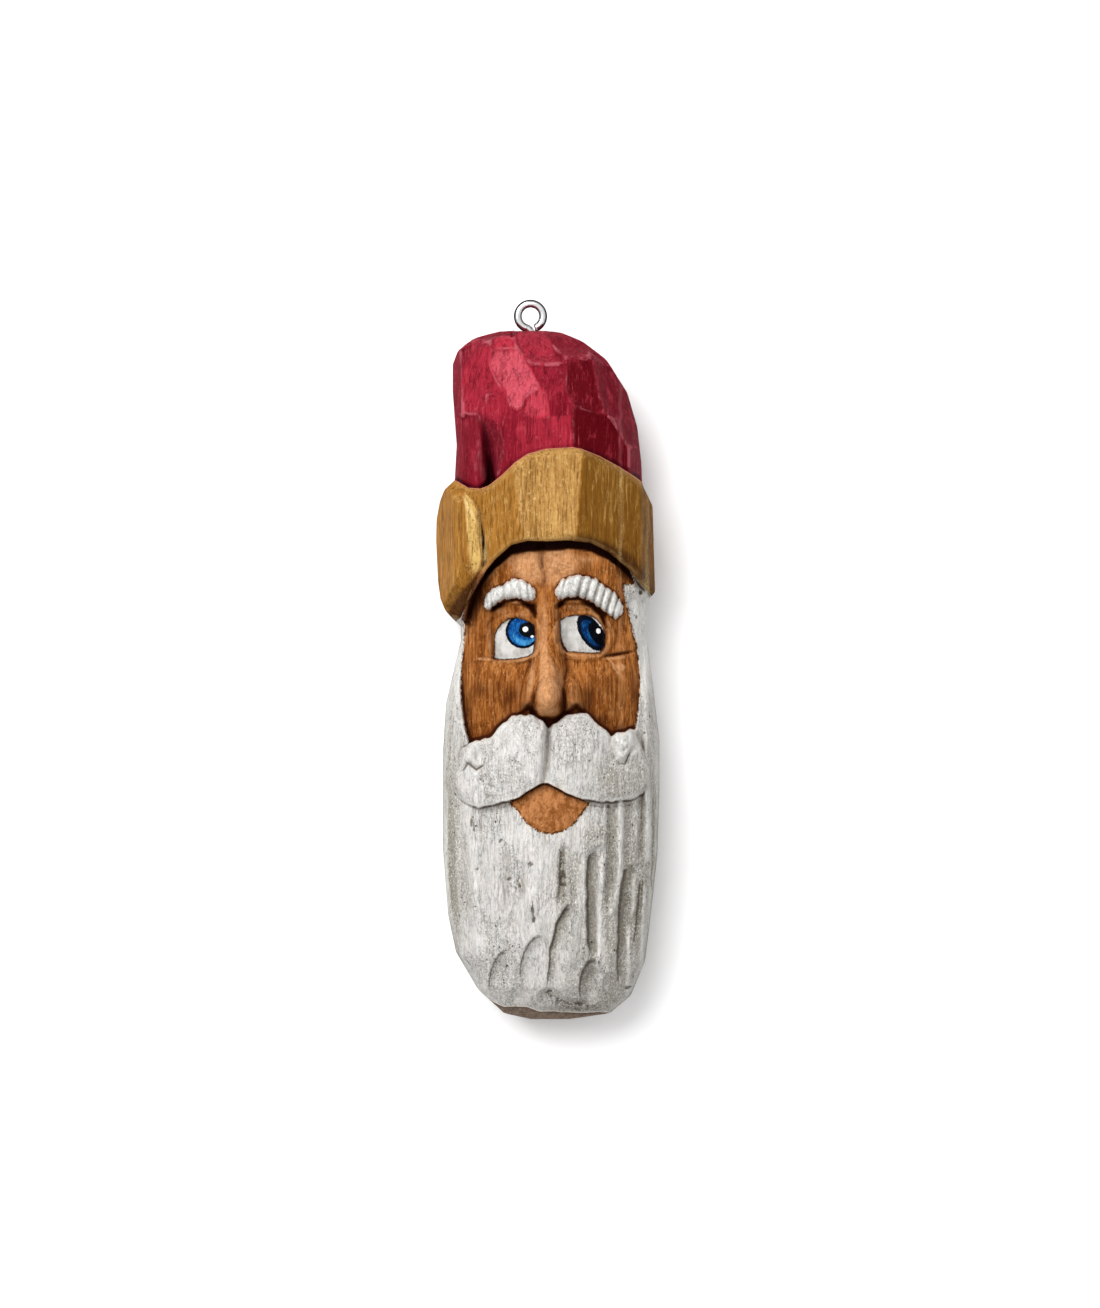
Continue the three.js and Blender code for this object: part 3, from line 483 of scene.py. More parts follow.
def eye_socket(u, v, white, hollow, ball, under, crease):
    left, right, top = hollow
    sunk = ramp(-4, 2, u - left) * ramp(-3, 3, right - u) * ramp(-4, 1, top - v)
    sunk = sunk * ramp(-0.8, 1.2, v - along(under, u))
    over_eye = -inwards(u, v, white)
    under_crease = along(crease, u) - v
    lid = ramp(0, 1, over_eye) * ramp(0, 1, under_crease) * ramp(385, 392, v)
    rolled = lid * (4 + 2.6 * ramp(0, 6, np.minimum(over_eye, under_crease)))
    rolled = rolled * ramp(-2, 2, u - left) * ramp(-1, 3, right + 3 - u)
    return lump(u, v, *ball) + rolled - HOLLOW_DEPTH * sunk


# Brows: two padded arches, notched across with the corner of the knife. A notch is
# (u, v, half width, depth).

BROW_SHOULDER = 8
BROW_DAUBS = [(0.7, 3, 6, 17), (0.5, 2, 2.4, 24)]
BROWS = [
    {
        "edge": [
            (-63.7, 418), (-61, 425), (-55, 430.5), (-43.7, 434), (-36, 439.5), (-26, 439),
            (-16, 432.6), (-11.3, 426), (-14, 417), (-22, 418), (-31.6, 420.4), (-43, 419), (-50, 416),
            (-56, 410), (-60, 407), (-63, 411),
        ],
        "height": 13, "lean": -0.1, "notches": [
            (-60, 414, 1.5, 0.5), (-56, 420, 1.6, 0.7), (-50, 424, 1.2, 0.4), (-44, 428, 1.6, 0.9),
            (-36.5, 430, 1.3, 0.6), (-28, 431, 1.4, 0.5), (-20, 428, 1.5, 0.8), (-15, 424, 1, 0.5),
        ],
    },
    {
        "edge": [
            (7, 427), (12.7, 438.3), (20, 441), (28.4, 443.3), (38.4, 442.6), (49.9, 438.3),
            (58.4, 431), (65.6, 427), (71.3, 419.7), (74.9, 412.6), (73.4, 404), (67, 399.7),
            (61.3, 402.6), (55.6, 407), (48.4, 412.6), (39.9, 418.3), (31.3, 421), (21.3, 421.5),
            (9.9, 418.3),
        ],
        "height": 15, "lean": 0.3, "notches": [
            (14, 428, 1.7, 0.8), (23, 431, 1.4, 0.5), (32, 432, 2.2, 1.1), (40, 430, 1.8, 1.2),
            (47.5, 425, 2, 1.2), (54, 420, 1.6, 1.1), (60, 414, 1.8, 1.2), (66, 409, 1.5, 1.1),
            (71, 405, 1.2, 0.8),
        ],
    },
]


def notched(u, v, height, lean, notches, edge=None):
    """How deep the knife's notches across a brow are, 1 at the deepest."""
    cuts = [deep * line(u - mu - lean * (v - mv), half) for mu, mv, half, deep in notches]
    return np.max(cuts, axis=0) * (0.75 + 0.25 * uneven(u, v, 6, 6, int(height)))


def brow(u, v, edge, height, lean, notches):
    cut = notched(u, v, height, lean, notches)
    side = dome(1 - np.clip((inwards(u, v, edge) - 1.4 * cut) / BROW_SHOULDER, 0, 1), 2.8)
    return (height - 3 * cut + bumps(u, v, BROW_DAUBS)) * side


def face(u, v):
    side = dome((u - FACE_MIDDLE) / FACE_HALF, FULLNESS["face"])
    height = SIDE_HEIGHT + (along(FACE_DEPTH, v) - SIDE_HEIGHT) * side
    height += sum(swell(u, v, *shape) for shape in FACE_SWELLS)
    height -= hollows(u, v, FACE_STROKES)
    carved = height + sum(eye_socket(u, v, **shape) for shape in EYES)
    carved -= sum(groove(u, v, *cut) for cut in FACE_CUTS)
    bridge = along(NOSE_HEIGHT, v) * (1 - np.clip(np.abs(u) / along(NOSE_WIDTH, v), 0, 1) ** 2.2)
    parts = [bridge + swell(u, v, *NOSE_TIP)] + [mound(u, v, *shape) for shape in NOSE_WINGS]
    nose = SOFTNESS * np.log(sum(np.exp(part / SOFTNESS) for part in parts) - 2)
    arch = np.max([brow(u, v, **shape) for shape in BROWS], axis=0)
    return np.where(arch > 0, height + arch, carved + nose)


# Cuff of the hat: broad flat facets, cut back a little along both edges. A facet is
# (u, v, height, slope along u, slope along v), and the paleness list says how pale each is
# stained and how lit it is painted.

CUFF_BOTTOM = [
    (-160, 340), (-118, 379), (-78, 419), (-61, 448), (-52, 459), (-36, 473), (-20, 477), (-2, 476.5),
    (21, 477.5), (42, 475), (60, 466), (79, 450), (92, 434), (104, 422), (112, 416), (160, 395),
]
CUFF_TOP = [
    (-160, 560), (-118, 545), (-91, 537), (-79, 530), (-67, 529), (-59, 532), (-48, 540), (-32, 555),
    (-20, 563), (-2, 568), (24, 569.5), (33, 568), (51, 561), (70, 551), (88, 540), (94, 535), (112, 519),
    (160, 500),
]
CUFF_CUTS = [
    (0, 519, 159, 0, -0.05), (31, 519, 159, -0.40, -0.02), (70, 499, 143, -0.56, 0),
    (92, 479, 131, -2.4, 0), (-30, 509, 159, 0.30, 0), (-48, 479, 153, 0.42, 0.06),
    (-61, 519, 147, 0.7, 0),
]
CUFF_ROUNDING, CUFF_ROUNDED = 10, 9
CUFF_PALE_AND_LIT = [0.82, 0.1, 0.08, 0.1, 0.55, 0.48, 0.46]
RIM_CUT = [
    (-66, 4), (-56, 7), (-43, 9), (-25, 10.5), (0, 9), (27, 8), (50, 8), (67, 6.5), (79, 8), (92, 6),
    (100, 4),
]


def cuff(u, v):
    height, which = planes(u, v, CUFF_CUTS)
    rounding = CUFF_ROUNDING * np.clip(1 - (along(CUFF_TOP, u) - v) / CUFF_ROUNDED, 0, 1) ** 2
    over_rim, rightward = v - along(CUFF_BOTTOM, u), ramp(0, 40, u)
    rounding += mix(3, 9, rightward) * np.clip(1 - over_rim / mix(5, 11, rightward), 0, 1) ** 1.8
    return height - rounding, which


def rim_cut(u, v):
    """How far into the cut under the cuff and its painted shadow a spot lies: 1 in it, 0 past its
    lower edge.
    """
    reach = (along(CUFF_BOTTOM, u) - v) / along(RIM_CUT, u) + 0.08 * uneven(u, v, 7, 4, 23)
    return ramp(1.3, 0.7, reach) * ramp(-70, -60, u)


# Tassel: the blunt end of the hat, hanging beside the face under the cuff's left end.

TASSEL_TOP = [(-118, 553), (-60, 518)]
TASSEL_RIGHT = [
    (400, -87), (411, -82), (445, -68), (454, -61), (472, -62), (505, -67), (518, -72), (526, -81),
    (535, -86),
]
TASSEL_CUTS = [
    (-98, 469, 124, 1.1, 0.02), (-107, 469, 96, 2.4, 0.02), (-75, 479, 143, -0.10, 0.03),
    (-65, 479, 140, -1.2, 0.03), (-82, 527, 135, 0.25, -0.55), (-93, 532, 117, 0.6, -0.9),
    (-82, 434, 130, 0.2, 0.45), (-92, 413, 105, 0.5, 1.1),
]
TASSEL_PALE_AND_LIT = [0.5, 0.45, 0.52, 0.3, 0.5, 0.45, 0.4, 0.3]
TASSEL_CREASE = (1.6, 2, [(-64, 494, 0.5), (-63.5, 480, 1), (-63.5, 456, 0.8)])
CREVICE = (4, 6, [(-50, 456, 0.6), (-64, 441, 1), (-73, 430, 1), (-78.5, 412, 1), (-78, 394, 0.6)])
WORN_AND_LIT_FACET = [
    (-83, 526), (-77, 521), (-70, 510), (-65, 498), (-63.5, 488), (-64, 470), (-66, 456), (-71, 443),
    (-76, 447), (-79, 465), (-81, 497),
]

# Hat: knife facets over a dome. Each row is a cut: its outline, how far it is tipped across and
# up from the dome, how pale its stain was left with its painted light, and how milky its painted
# sheen is.

HAT_TOP_HEIGHT = 100
HAT_TOP_FALL = 0.1
HAT_DEPTH = 88
HAT_MIDDLE, HAT_HALF = -0.5, 97
HAT_SHOULDER, HAT_CAP = 589, 108
HAT_LEAN = 40
FACET_REACH = 5
HAT_FACETS = [
    ([(-110, 668), (-85, 670), (-86, 640), (-86, 604), (-110, 596)], 0, 0, 0.34, 0.15),
    ([(-110, 600), (-70, 602), (-60, 575), (-57, 529), (-110, 515)], 0, 0, 0.26, 0.05),
    ([
        (-85, 670), (-55, 678), (-55, 666), (-58, 652), (-50, 636), (-42, 626), (-62, 612), (-86, 600),
    ], 0, 0, 0.46, 0.05),
    ([
        (-62, 624), (-42, 626), (-41, 616), (-38, 610), (-44, 590), (-50, 600), (-64, 604),
    ], 0, -0.04, 0.42, 0),
    ([
        (-104, 655), (-92, 670), (-80, 677), (-42, 682.5), (-35, 680), (-34, 705), (-115, 705),
    ], 0, 0, 0.4, 0.7),
    ([
        (-36, 700), (12, 700), (33, 680), (43, 668), (43, 657), (17, 654), (10, 650), (-17, 650),
        (-30, 671),
    ], 0, -0.08, 0.52, 0.5),
    ([
        (6, 700), (12, 700), (33, 680), (43, 668), (43, 657), (17, 656), (8, 664), (2, 676), (-4, 684),
    ], 0, -0.08, 0.32, 0.3),
    ([(11, 687), (34, 677), (46, 661), (67, 646), (90, 645), (90, 705), (5, 705)], 0, -0.1, 0.42, 0.85),
    ([(-17, 650), (15, 651), (17, 638), (17, 624), (-1, 623), (-7, 629)], 0.03, 0, 0.4, 0.15),
    ([(-55, 678), (-42, 682), (-35, 679), (-28, 667), (-55, 666)], 0.05, -0.1, 0.6, 0.1),
    ([
        (-55, 666), (-28, 667), (-18, 649), (-7, 629), (-12, 625), (-18, 621), (-23, 616), (-24, 610),
        (-30, 606), (-38, 609), (-41, 616), (-42, 626), (-50, 636), (-58, 652),
    ], 0.12, -0.12, 0.86, 0.14),
    ([
        (17, 655), (43.5, 656), (48, 634), (50, 620), (56, 608), (47, 604), (24, 614), (17, 625),
    ], -0.1, 0.05, 0.1, 0.1),
    ([
        (43.5, 656), (46, 661), (67, 646), (88, 646), (104, 595), (86, 595), (58, 602), (50, 620),
        (48, 634),
    ], 0, 0, 0.16, 0.55),
    ([
        (58, 602), (86, 595), (104, 595), (104, 566), (88, 571), (80, 573), (70, 585),
    ], 0, 0.02, 0.16, 0.65),
    ([
        (24, 614), (47, 604), (58, 602), (70, 585), (80, 573), (79, 540), (60, 540), (20, 560), (23, 590),
    ], -0.08, 0.04, 0.06, 0),
    ([(80, 573), (88, 571), (104, 566), (104, 500), (79, 520)], 0, 0, 0.3, 0.5),
    ([
        (-24, 610), (-18, 621), (-12, 625), (-7, 629), (-1, 623), (2, 601), (-8, 599), (-22, 601),
    ], 0.03, 0.02, 0.72, 0),
    ([(-1, 623), (17, 624), (22, 612), (22, 601), (10, 600), (2, 601)], 0, 0.05, 0.24, 0),
    ([(2, 601), (10, 600), (22, 601), (24, 582), (26, 558), (3, 558)], 0.02, 0.02, 0.5, 0),
    ([
        (-22, 601), (-8, 599), (2, 601), (4, 573), (3, 555), (-32, 545), (-33, 588),
    ], 0.05, 0.03, 0.46, 0.1),
    ([
        (-38, 610), (-30, 606), (-22, 601), (-33, 588), (-32, 545), (-54, 525), (-50, 560), (-44, 590),
    ], 0.02, 0, 0.36, 0),
]
FOLD_TOP, FOLD_RUN, FOLD_DEPTH = 602, 54, 35
FOLD_VALLEY = [(529, -56), (549, -58), (564, -61), (583, -64), (602, -68)]
FOLD_LEFT = [(529, -73), (569, -73), (589, -72), (602, -69)]
FOLD_RIGHT = [(529, -51), (554, -48), (573, -44), (583, -46), (593, -51), (602, -66)]


def hat_dome(u, v):
    side = dome((u - HAT_MIDDLE) / HAT_HALF, FULLNESS["hat"])
    side = side * dome(np.maximum(v - HAT_SHOULDER, 0) / HAT_CAP, FULLNESS["hat"])
    lean = np.clip((u - 12) / 82, 0, 1) ** 2 * np.maximum((v - 579) / 100, 0)
    return SIDE_HEIGHT + HAT_DEPTH * side - HAT_LEAN * lean


def hat(u, v):
    height, pale_and_lit, milky = hat_dome(u, v), np.full(np.shape(u), 0.42), np.full(np.shape(u), 0.15)
    # Each cut sets its facet's paleness of stain and painted light, and its painted sheen
    for edge, tip_u, tip_v, paleness_and_light, milkiness in HAT_FACETS:
        corners = np.array(edge + [np.mean(edge, axis=0)])
        level = np.column_stack([corners, np.ones(len(corners))])
        slope_u, slope_v, raised = np.linalg.lstsq(level, hat_dome(*corners.T), rcond=None)[0]
        middle_u, middle_v = corners[-1]
        cut = slope_u * u + slope_v * v + raised + tip_u * (u - middle_u) + tip_v * (v - middle_v)
        cut = np.clip(cut, hat_dome(u, v) - FACET_REACH, hat_dome(u, v) + FACET_REACH)
        distance = inwards(u, v, edge)
        height = mix(height, cut, ramp(-1.2, 1.2, distance))
        inside = ramp(-0.5, 0.5, distance)
        pale_and_lit, milky = mix(pale_and_lit, paleness_and_light, inside), mix(milky, milkiness, inside)
    valley, left, right = along(FOLD_VALLEY, v), along(FOLD_LEFT, v), along(FOLD_RIGHT, v)
    leftward = np.clip((u - left) / (valley - left), 0, 1) ** 1.8
    rightward = np.clip((right - u) / (right - valley), 0, 1) ** 0.9
    folded = ramp(0, FOLD_RUN, FOLD_TOP - v) * np.where(u < valley, leftward, rightward)
    # Painted shade and painted sheen in the fold, and painted sheen along the hat's outline
    in_fold = ramp(0, 0.08, rightward) * ramp(valley - 1, valley + 1, u)
    in_fold = in_fold * ramp(FOLD_TOP + 1, FOLD_TOP - 4, v)
    brim = ramp(0.9, 0.99, np.hypot(across(u, v), np.maximum(v - 620, 0) / 72))
    milky = mix(milky, 0.8, np.maximum(0.8 * in_fold, brim))
    return height - FOLD_DEPTH * folded, mix(pale_and_lit, 0.16, in_fold), milky


# Whole front: each part is let in over the one before it, behind a clean stop cut STEP wide on
# each side. The answers are the height, how pale the stain is with each facet's painted light,
# and how milky the hat's painted sheen is.

STEP = 0.5
RIM_CUT_DEPTH = 5
TASSEL_ROUNDING = 4


def front(u, v):
    over_moustache, under_moustache = v - along(MOUSTACHE_TOP, u), along(MOUSTACHE_BOTTOM, u) - v
    over_cuff = v - along(CUFF_BOTTOM, u)
    crossing = lambda distance: ramp(-STEP, STEP, distance)
    upright = lambda distance: ramp(-1.6, 1.6, distance)
    in_face = upright(np.minimum(u - along(FACE_LEFT, v), along(FACE_RIGHT, v) - u))
    in_face = in_face * crossing(over_moustache)
    left_end, right_end, end_middle = MOUSTACHE_ENDS
    rounded = 0.013 * (v - end_middle) ** 2
    ends = ramp(-6, 6, u - left_end - rounded) * ramp(-5, 4, right_end - rounded - u)
    into_hair = ramp(82, 89, np.abs(u)) * ramp(20, 0, -over_moustache)
    in_moustache = crossing(np.minimum(-over_moustache, -under_moustache)) * ends * (1 - into_hair)
    in_lip = ramp(-1, 1, v - along(LIP_BOTTOM, u)) * ramp(-2, 1, 40 - np.abs(u - 2))
    in_lip = in_lip * crossing(under_moustache)
    in_hat = crossing(v - along(CUFF_TOP, u))
    in_tassel = upright(along(TASSEL_RIGHT, v) - u) * upright(along(TASSEL_TOP, u) - v) * upright(v - 400)
    cuff_height, cuff_facet = cuff(u, v)
    hat_height, hat_pale_and_lit, hat_milky = hat(u, v)
    tassel_height, tassel_facet = planes(u, v, TASSEL_CUTS)
    tassel_height = tassel_height - groove(u, v, *TASSEL_CREASE)
    inside = (along(TASSEL_RIGHT, v) - u) / TASSEL_ROUNDING
    tassel_height -= TASSEL_ROUNDING * np.clip(1 - inside, 0, 1) ** 2
    height = mix(beard(u, v), face(u, v) - RIM_CUT_DEPTH * rim_cut(u, v), in_face)
    height -= groove(u, v, *CREVICE) * crossing(-over_cuff)
    for over, here in [
        (moustache(u, v), in_moustache), (lip(u, v), in_lip), (cuff_height, crossing(over_cuff)),
        (hat_height, in_hat), (tassel_height, in_tassel),
    ]:
        height = mix(height, over, here)
    # Paleness of each facet's stain with its painted light, palest on the tassel's worn and lit facet
    pale_and_lit = mix(np.take(CUFF_PALE_AND_LIT, cuff_facet), hat_pale_and_lit, in_hat)
    pale_and_lit = mix(pale_and_lit, np.take(TASSEL_PALE_AND_LIT, tassel_facet), in_tassel)
    pale_and_lit = mix(pale_and_lit, 1.0, ramp(-0.6, 0.6, inwards(u, v, WORN_AND_LIT_FACET)) * in_tassel)
    return height, pale_and_lit, hat_milky * in_hat


# Paint and stain: where each one ends, as distances in from its edge.

SKIN_EDGE = (
    [(u, v) for v, u in FACE_LEFT if v < 396] + [(-86, 399), (-83, 411), (-70, 445), (-62, 452)]
    + [(u, v + 4) for u, v in CUFF_BOTTOM if -60 < u < 92] + [(86, 434.5), (74.5, 434)]
    + [(u, v) for v, u in reversed(FACE_RIGHT) if v < 430]
    + [(u, v) for u, v in reversed(MOUSTACHE_TOP) if -78 < u < 86]
)
LIP_EDGE = LIP_BOTTOM + [(u, v) for u, v in reversed(MOUSTACHE_BOTTOM) if -36 <= u <= 33]
HAT_EDGE = CUFF_TOP + [(160, 800), (-160, 800)]
GOLD_EDGE = (
    CUFF_TOP + [(u, v) for u, v in reversed(CUFF_BOTTOM) if u > -60]
    + [(-63, 449), (-70, 443), (-82, 411), (-87, 401), (-93, 397), (-160, 385)]
)
BARE_EDGE = [
    (-160, 60), (-80, 40), (-66, 27), (-57, 19), (-44, 13), (-34, 14), (-21, 13.5), (-8, 8.5), (5, 9),
    (14, 8), (34, 7), (50, 8), (62, 7), (72, -2), (160, -30),
]


def paints(u, v):
    brow_gaps = [inwards(u, v, shape["edge"]) - 1.6 * notched(u, v, **shape) for shape in BROWS]
    return {
        "skin": np.maximum(inwards(u, v, SKIN_EDGE), inwards(u, v, LIP_EDGE)),
        "crimson": inwards(u, v, HAT_EDGE), "gold": inwards(u, v, GOLD_EDGE),
        "brow": np.max(brow_gaps, axis=0),
        "eye": np.max([inwards(u, v, shape["white"]) for shape in EYES], axis=0),
        "bare": along(BARE_EDGE, u) - v,
    }


# Sheet of the front: rows follow the moustache and the cuff, with one row close on each side of
# every stop cut, and columns crowd towards the outline.

COLUMNS = 188
COLUMN_CROWDING, ROW_CROWDING = 1.05, 0.9
ROWS = [122, 62, 132, 40, 60]
GUIDES = [[(0, 0)], MOUSTACHE_BOTTOM, MOUSTACHE_TOP, CUFF_BOTTOM, CUFF_TOP, [(0, FIGURE_LENGTH)]]


def crowded(share, amount):
    return 0.5 + 0.5 * np.sin((2 * share - 1) * amount) / math.sin(amount)


figure_shape = bmesh.new()
row_count = sum(ROWS) + len(ROWS) - 1
bmesh.ops.create_grid(figure_shape, x_segments=COLUMNS, y_segments=row_count, size=1)
flat = np.array([spot.co for spot in figure_shape.verts])
column = crowded((flat[:, 0] + 1) / 2, COLUMN_CROWDING)
row = np.rint((flat[:, 1] + 1) / 2 * row_count).astype(int)
spot_u, spot_v = np.zeros(len(flat)), np.zeros(len(flat))
first = 0
for zone, count in enumerate(ROWS):
    here = (row >= first) & (row <= first + count)
    share = crowded((row[here] - first) / count, ROW_CROWDING)
    u = np.zeros(here.sum())
    for settling in range(30):
        low = along(GUIDES[zone], u) + (STEP if zone else 0)
        high = along(GUIDES[zone + 1], u) - (STEP if zone < len(ROWS) - 1 else 0)
        v = mix(low, high, share)
        u = mix(along(LEFT_OUTLINE, v), along(RIGHT_OUTLINE, v), column[here])
    spot_u[here], spot_v[here] = u, v
    first += count + 1

PAINT_DAUBS = [(0.5, 5, 12, 3), (0.4, 2.4, 6, 4)]
KNIFE_STROKES = [(1.8, 9, 52, 19), (1, 5, 24, 21)]
WOOD_GRAIN = [(0.25, 3, 30, 5), (0.4, 14, 22, 6)]
spot_height = front(spot_u, spot_v)[0]
away = ramp(0, 0.12, 1 - np.abs(across(spot_u, spot_v)))
paint = paints(spot_u, spot_v)
in_white = ramp(2, -2, np.max([paint[name] for name in ("skin", "gold", "crimson")], axis=0))
in_paint = bumps(spot_u, spot_v, PAINT_DAUBS) - hollows(spot_u, spot_v, KNIFE_STROKES)
spot_height += away * (in_white * in_paint + bumps(spot_u, spot_v, WOOD_GRAIN))
DRAWN = ("drawn_u", "drawn_v", "drawn_height")
drawn = [figure_shape.verts.layers.float.new(name) for name in DRAWN]
for spot, *place in zip(figure_shape.verts, spot_u, spot_v, spot_height):
    spot.co = place
    for layer, value in zip(drawn, place):
        spot[layer] = value

# Sides and back: the sheet's edge is drawn down the sides, which draw in a little towards the
# back and carry on the beard's flutes, then round the edge of the back and in to its middle.

SIDES = [
    (0.87, 0), (0.73, 0), (0.59, 0.4), (0.45, 1.2), (0.32, 2.8), (0.2, 5.2), (0.09, 8.5), (0.03, 12),
    (0, 17),
]
BACK = [0.2, 0.5, 0.82]
SPINE = (100, 590)


def drawn_on(edges):
    made = bmesh.ops.extrude_edge_only(figure_shape, edges=edges)["geom"]
    spots = [part for part in made if isinstance(part, bmesh.types.BMVert)]
    edges = [part for part in made if isinstance(part, bmesh.types.BMEdge) and part.is_boundary]
    return spots, edges, np.array([[spot[layer] for layer in drawn] for spot in spots]).T


edges = [edge for edge in figure_shape.edges if edge.is_boundary]
for level, inset in SIDES:
    spots, edges, (u, v, height) = drawn_on(edges)
    height = height * level
    middle_v = np.clip(v, *SPINE)
    span = np.hypot(u, middle_v - v)
    in_hair = ramp(0, 8, np.minimum(v - 6, along(CUFF_BOTTOM, u) - v))
    lock = np.abs(np.sin((height / 15 + 0.5 * uneven(u, v, 40, 90, 8)) * math.pi))
    upper = ramp(0, 0.1, level) * ramp(1, 0.8, level)
    inset = inset + upper * (2.6 * in_hair * (1 - lock) + 0.8 * (1 + uneven(v, height, 26, 16, 9)))
    for spot, *place in zip(spots, u - u / span * inset, v + (middle_v - v) / span * inset, height):
        spot.co = place
for share in BACK:
    spots, edges, (u, v, height) = drawn_on(edges)
    middle_v = np.clip(v, *SPINE)
    keep = (1 - SIDES[-1][1] / np.hypot(u, middle_v - v)) * (1 - share)
    for spot, *place in zip(spots, u * keep, mix(middle_v, v, keep), 0 * u):
        spot.co = place
bmesh.ops.holes_fill(figure_shape, edges=edges, sides=0)
bmesh.ops.recalc_face_normals(figure_shape, faces=figure_shape.faces)

# What the material needs at every spot: distances in millimetres, how deep it lies below the
# wood round it, how pale its facet is stained and painted lit, and how milky its painted sheen
# is. The three tables below are soft patches of wear and painted highlight, of pooled stain and
# painted shade, and of grey finish, each (u, v, wide, tall, strength, turn).

SHEET_LEFT, SHEET_FOOT = -130, -20
sheet_height, sheet_pale_and_lit, sheet_milky = front(
    *np.meshgrid(np.arange(SHEET_LEFT, 131.0), np.arange(SHEET_FOOT, 709.0)))


def softened(sheet, reach):
    waves_v, waves_u = np.fft.fftfreq(sheet.shape[0])[:, None], np.fft.rfftfreq(sheet.shape[1])
    keep = np.exp(-2 * (math.pi * reach) ** 2 * (waves_u ** 2 + waves_v ** 2))
    return np.fft.irfft2(np.fft.rfft2(sheet) * keep, s=sheet.shape)


def on_sheet(sheet, u, v):
    right = np.clip(u - SHEET_LEFT, 0, sheet.shape[1] - 1.1)
    up = np.clip(v - SHEET_FOOT, 0, sheet.shape[0] - 1.1)
    i, j = right.astype(int), up.astype(int)
    a, b = right - i, up - j
    return mix(mix(sheet[j, i], sheet[j, i + 1], a), mix(sheet[j + 1, i], sheet[j + 1, i + 1], a), b)


places = np.array([spot.co for spot in figure_shape.verts])
drawn_places = np.array([[spot[layer] for layer in drawn] for spot in figure_shape.verts])
on_front = np.arange(len(places)) < len(flat)
painted_u = np.where(on_front, places[:, 0], drawn_places[:, 0])
painted_v = places[:, 1]
# Soft patches of wear and painted highlight on high spots
WORN_AND_LIT_PATCHES = [
    (-20, 452, 10, 14, 1.6), (11, 452, 11, 16, 1.7), (-4, 355, 4, 22, 1), (-1, 328, 9, 12, 0.8),
    (-45, 407, 10, 4, 0.5), (-24, 405, 8, 4, 0.5), (28, 411, 14, 4, 0.5), (-4, 400, 5, 30, 0.6),
    (14, 336, 4, 16, 0.5), (-17, 340, 3, 20, 0.9, -10), (-29, 328, 3, 18, 0.5), (29, 326, 3, 14, 0.4),
    (-40, 460, 10, 5, 0.4), (42, 459, 12, 4, 0.4), (70, 352, 9, 3, 0.6), (4, 345, 10, 14, 0.4),
    (-73, 560, 1.3, 26, 0.35, 2), (0, 323, 9, 11, 1), (1, 309, 9, 4, 0.5), (-4, 352, 2, 14, 0.7, -4),
    (5, 350, 2, 12, 0.5, 10), (67, 351, 1.2, 12, 1.5, 34), (-62, 360, 10, 1.2, 1.5, -4),
    (66, 361, 10, 1.3, 1.2, 4), (28, 361, 22, 1.6, 0.5), (-62, 350, 3, 2, 0.5),
    (-61.8, 472, 1.2, 20, 0.7), (-66, 478, 1.6, 4, 0.9), (-77, 507, 1.6, 17, 1.2, 28),
    (-80, 497, 1.2, 26, 0.6, 4), (-64, 462, 2.4, 7, 0.9), (-68, 449, 5, 2.5, 0.6, 30),
    (90, 405, 9, 30, 1), (95, 350, 4, 50, 0.9), (-90, 350, 4, 50, 0.8), (74, 276, 9, 13, 0.9),
    (71, 262, 4, 5, 0.8), (84, 250, 8, 5, 0.6), (43, 24, 8, 10, 0.7), (-5, 200, 70, 12, 0.25),
    (1, 452, 40, 16, 0.7),
]
# Soft patches of pooled stain and painted shade
STAINED_AND_SHADED_PATCHES = [
    (-78, 424, 7, 26, 0.8, -24), (-72, 412, 4, 26, 0.4, -12), (85, 443, 20, 9, 1.3, -34),
    (100, 480, 4, 50, 0.5), (84, 474, 8, 46, 0.3), (-80, 412, 12, 22, 1.3, -34),
    (70, 466, 22, 6, 0.6, -32), (-20, 311, 8, 7, 1), (28, 311, 8, 6, 1), (2, 297, 12, 5, 1.1),
    (-40, 319, 6, 15, 0.35), (42, 322, 4, 18, 0.6), (88, 322, 5, 40, 0.5), (15, 385, 3, 24, 0.5),
    (-68, 330, 14, 9, 0.3), (-78, 310, 6, 22, 0.5), (50, 300, 12, 6, 0.6), (-40, 298, 12, 6, 0.5),
    (-57, 395, 5, 14, 0.5), (60, 392, 4, 10, 0.5), (4, 234, 22, 5, 0.5), (-6, 456, 2, 10, 0.7),
    (-3, 438, 1.8, 8, 0.6), (-62, 580, 4, 18, 0.9, 12), (-58, 545, 5, 18, 0.9),
    (-18, 336, 3, 10, 0.35, -10), (20, 336, 3, 12, 0.4), (13, 316, 4, 11, 0.5), (-13, 317, 3, 9, 0.4),
    (-52, 330, 24, 40, 0.34), (62, 330, 26, 44, 0.42), (-70, 380, 10, 30, 0.3), (-90, 408, 9, 9, 0.6),
    (52, 520, 20, 60, 0.15), (70, 365, 11, 1.5, 1, 8), (-34, 325, 4, 7, 0.3), (14, 312, 3, 7, 0.4),
    (-14, 325, 1.8, 10, 0.6, -18), (-7, 338, 6, 1.5, 0.5, 40), (15, 326, 1.8, 11, 0.6, 12),
    (8, 338, 5, 1.5, 0.5, -40), (-84, 560, 8, 60, 0.2),
]
